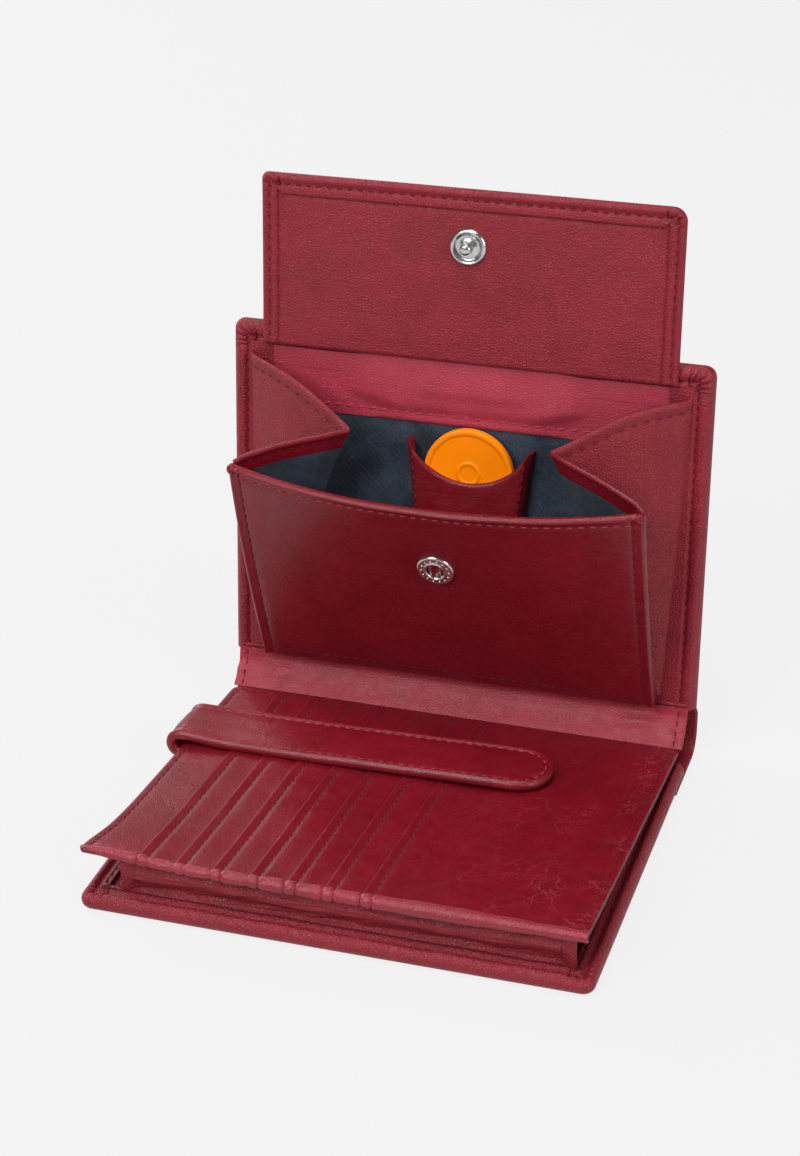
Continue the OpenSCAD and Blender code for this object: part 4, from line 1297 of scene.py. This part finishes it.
def binding():
    """Folded leather edge along the panel's front, tucked in at each pocket."""
    x = lines(-PANEL_HALF, PANEL_HALF, 0.4, THIN)
    turns = np.linspace(radians(70), radians(285), 14)
    h = 1.15 + 0.35 * smooth(-60, 20, x) * smooth(62, 30, x)
    tuck = sum(0.34 * bump(x, pocket_x(i) + o, 0.28) for i in range(POCKETS) for o in (0.2, 2.9))
    r = (h + 0.16 * waves(x, 0 * x, 7, 91) - tuck) * (0.4 + 0.6 * smooth(-61, -53, x))
    x, h, r = x[:, None], h[:, None], r[:, None]
    y = -PANEL_D + 1.1 + r * 1.25 * np.cos(turns)
    z = 0.05 - 0.35 * (h - 1) + r * 1.15 * np.sin(turns)
    p = Piece("panel_front_binding")
    p.grid(on_panel(np.broadcast_to(x, y.shape), y, z), flip=True)
    obj = p.make(kit("trim"), "card_panel", ("card_binding",))
    mod = obj.modifiers.new("thickness", "SOLIDIFY")
    mod.thickness = 0.4 * MM
    mod.offset = -1


def bill_bellows():
    """Wrinkled wall of the note compartment with a stitched hem at each end."""
    x0, x1 = BELLOWS_SHIFT - BELLOWS_W / 2, BELLOWS_SHIFT + BELLOWS_W / 2
    z0, z1 = 3.6, 13.2

    def inset(x):
        return np.minimum(x - x0, x1 - x)

    def place(x, k, h):
        hem = 1 - smooth(2.2, 3.4, inset(x))
        folds = 1.1 * np.sin(k * pi * 2.6 + 0.9 * waves(x, 0 * x, 55, 95))
        fine = 0.42 * waves(x * 0.35, k * 14, 5.5, 97) + 0.3 * waves(x * 0.2, k * 18, 2.6, 98)
        soft = 0.5 * np.sin(pi * k) + (folds + fine) * smooth(0, 0.2, k)
        flat_hem = 0.1 + 0.2 * np.sin(3 * k)
        y = BELLOWS_Y - 0.9 - 0.7 * k + soft * (1 - hem) - flat_hem * hem - h
        return np.stack([x, y, z0 + (z1 - z0) * k], -1)

    p = Piece("note_bellows", place)
    p.sheet(lines(x0, x1, 1.0, THIN), np.linspace(0, 1, 34),
            lambda x, k, d: 0.4 + 0.3 * bump(inset(x), 1.0, 1.0) - 0.2 * bump(inset(x), 3.4, 0.4),
            -0.4)
    for x in (x0 + 3.4, x1 - 3.4):
        p.stitches([(x, 0.08), (x, 0.95)], 0.2, scale=(1, 9))
    obj = p.make(kit("nappa"), None, ("bill_gusset",))
    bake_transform(obj)


# ---- strap
def strap_rise(x):
    """The strap stands on its snap near the tip and lies down towards its fold."""
    return -0.45 - 0.85 * smooth(22, -38, x)


def strap():
    """Strap across the panel, and the leather that wraps round the panel's edge to hold it."""
    half = STRAP_W / 2 + 1.4
    y_mid = -STRAP_INSET - STRAP_W / 2 - 3.6
    y0, y1 = y_mid - half, y_mid + half
    tip = -PANEL_HALF + STRAP_L
    x_root = STRAP_FOLD_X + 1.5
    mid = STRAP_LIFT + STRAP_T / 2
    fine = (0, 0.05, 0.18, 0.4, 0.7, 1.0, 1.4, 1.7, 2.0, 2.3, 2.7, 3.2)
    ys = lines(y0, y1, 0.9, fine)

    def upper(x, y, d):
        pipe = 0.3 * bump(d, 0.9, 0.6) - 0.3 * bump(d, 2.0, 0.35) + 0.25 * smooth(2.6, 6, d)
        return (STRAP_T / 2 + pipe + 0.1 * waves(x, y, 22, 101)) * roll(d, 1.0)

    def lower(x, y, d):
        return -STRAP_T / 2 * roll(d, 1.0)

    def raised(x, y):
        return mid + strap_rise(x) - 0.9 * smooth(y1, y0, y) * smooth(x_root, x_root + 12, x)

    def top(x, y, d):
        return upper(x, y, d) + raised(x, y)

    o = Outline(x_root, tip, y0, y1, r=(0, half - 0.05, half - 0.05, 0), free="RTB")
    p = Piece("strap_band", panel, o)
    p.sheet(lines(x_root, tip, 1.5, (), fine), ys, top,
            lambda x, y, d: lower(x, y, d) + raised(x, y), rims="RTB")
    p.stitches(o.path(2.0, "BRT", ends=0.6), top, mat=LIGHT_THREAD, width=0.36)
    obj = p.make(kit("smooth"), None, ("strap",))
    tuple(panel(x_root, 0, 5) * MM)
    tuple(panel(x_root + 2.2, 0, 5) * MM)
    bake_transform(obj)

    low_mid = -2.25  # the tail's middle, under the panel
    r_mid = (mid + strap_rise(x_root) - low_mid) / 2
    tail = 16.0
    arc = pi * r_mid

    def wrap(k, y, h):
        """k from the top of the wrap (0) round the edge to the end of the tail (1)."""
        s = k * (arc + tail)
        a = np.clip(s / r_mid, 0, pi)
        r = r_mid + h * (1 - 0.5 * smooth(0.3, 0.6, k))
        x = x_root - r * np.sin(a) + np.maximum(0, s - arc)
        return panel(x, y, low_mid + r_mid + r * np.cos(a))

    def outside(k, y, d):
        return upper(x_root, y, d)

    p = Piece("strap_wrap", wrap, Outline(0, 1, y0, y1, free="TB"))
    p.sheet(np.linspace(0, 1, 44), ys, outside, lower, rims="R")
    for y in (y0 + 2.0, y1 - 2.0):
        p.stitches([(0.01, y), (0.3, y)], outside, mat=LIGHT_THREAD, width=0.36, pitch=3.5,
                   length=2.3, scale=(30, 1))
    p.make(kit("smooth"), "card_panel", ("strap_root",))


# ---- studio
LOOK_AT = Vector((0, 0, 0.06))
FLOOR = 4.0
PALE = 0.887
LAMPS = (  # name, place, size, power
    ("key_light", (-0.55, -1.15, 1.05), 0.9, 19.0),
    ("top_light", (0.1, -0.3, 1.5), 0.7, 13.0),
    ("left_light", (-1.05, 0.5, 0.62), 0.5, 8.0),
    ("back_light", (-0.8, 1.05, 0.85), 0.45, 4.0),
    ("right_light", (1.25, -0.5, 0.6), 0.6, 8.0),
)


def studio():
    """Pale floor, dim surroundings with a pale backdrop, and soft lamps."""
    world = bpy.data.worlds.new("studio")
    world.use_nodes = True
    tree = world.node_tree
    dim = tree.nodes["Background"]
    dim.inputs["Color"].default_value = (1.0, 0.98, 0.97, 1)
    dim.inputs["Strength"].default_value = 0.16
    pale = tree.nodes.new("ShaderNodeBackground")
    pale.inputs["Color"].default_value = (PALE, PALE, PALE, 1)
    seen = tree.nodes.new("ShaderNodeLightPath")
    pick = tree.nodes.new("ShaderNodeMixShader")
    tree.links.new(seen.outputs["Is Camera Ray"], pick.inputs[0])
    tree.links.new(dim.outputs[0], pick.inputs[1])
    tree.links.new(pale.outputs[0], pick.inputs[2])
    tree.links.new(pick.outputs[0], tree.nodes["World Output"].inputs["Surface"])
    bpy.context.scene.world = world

    mesh = bpy.data.meshes.new("studio_floor")
    mesh.from_pydata([(-FLOOR, -FLOOR, 0), (FLOOR, -FLOOR, 0), (FLOOR, FLOOR, 0),
                      (-FLOOR, FLOOR, 0)], [], [(0, 1, 2, 3)])
    floor = new_object("studio_floor", mesh)
    mesh.materials.append(Nodes("pale_floor").done(
        Base_Color=(0.045, 0.045, 0.045, 1), Roughness=1.0, Specular_IOR_Level=0.0,
        Emission_Color=(1, 1, 1, 1), Emission_Strength=0.83))
    floor.location.z = -0.0002

    for name, place, size, power in LAMPS:
        data = bpy.data.lights.new(name, "AREA")
        data.size = size
        data.energy = power
        lamp = new_object(name, data)
        lamp.location = place
        lamp.rotation_euler = (LOOK_AT - Vector(place)).to_track_quat("-Z", "Y").to_euler()
    bpy.context.scene.view_settings.view_transform = "Standard"


make_camera()
dress_cad_nodes()
lower_shell()
spine_strip()
spine_lining()
upper_shell()
gusset_margins()
coin_box_welt()
coin_back()
flap()
press_studs()
coin_front()
coin_box_bottom()
gusset(-1)
gusset(1)
trolley_disc()
chip_pouch()
card_panel()
bill_bellows()
strap()
studio()
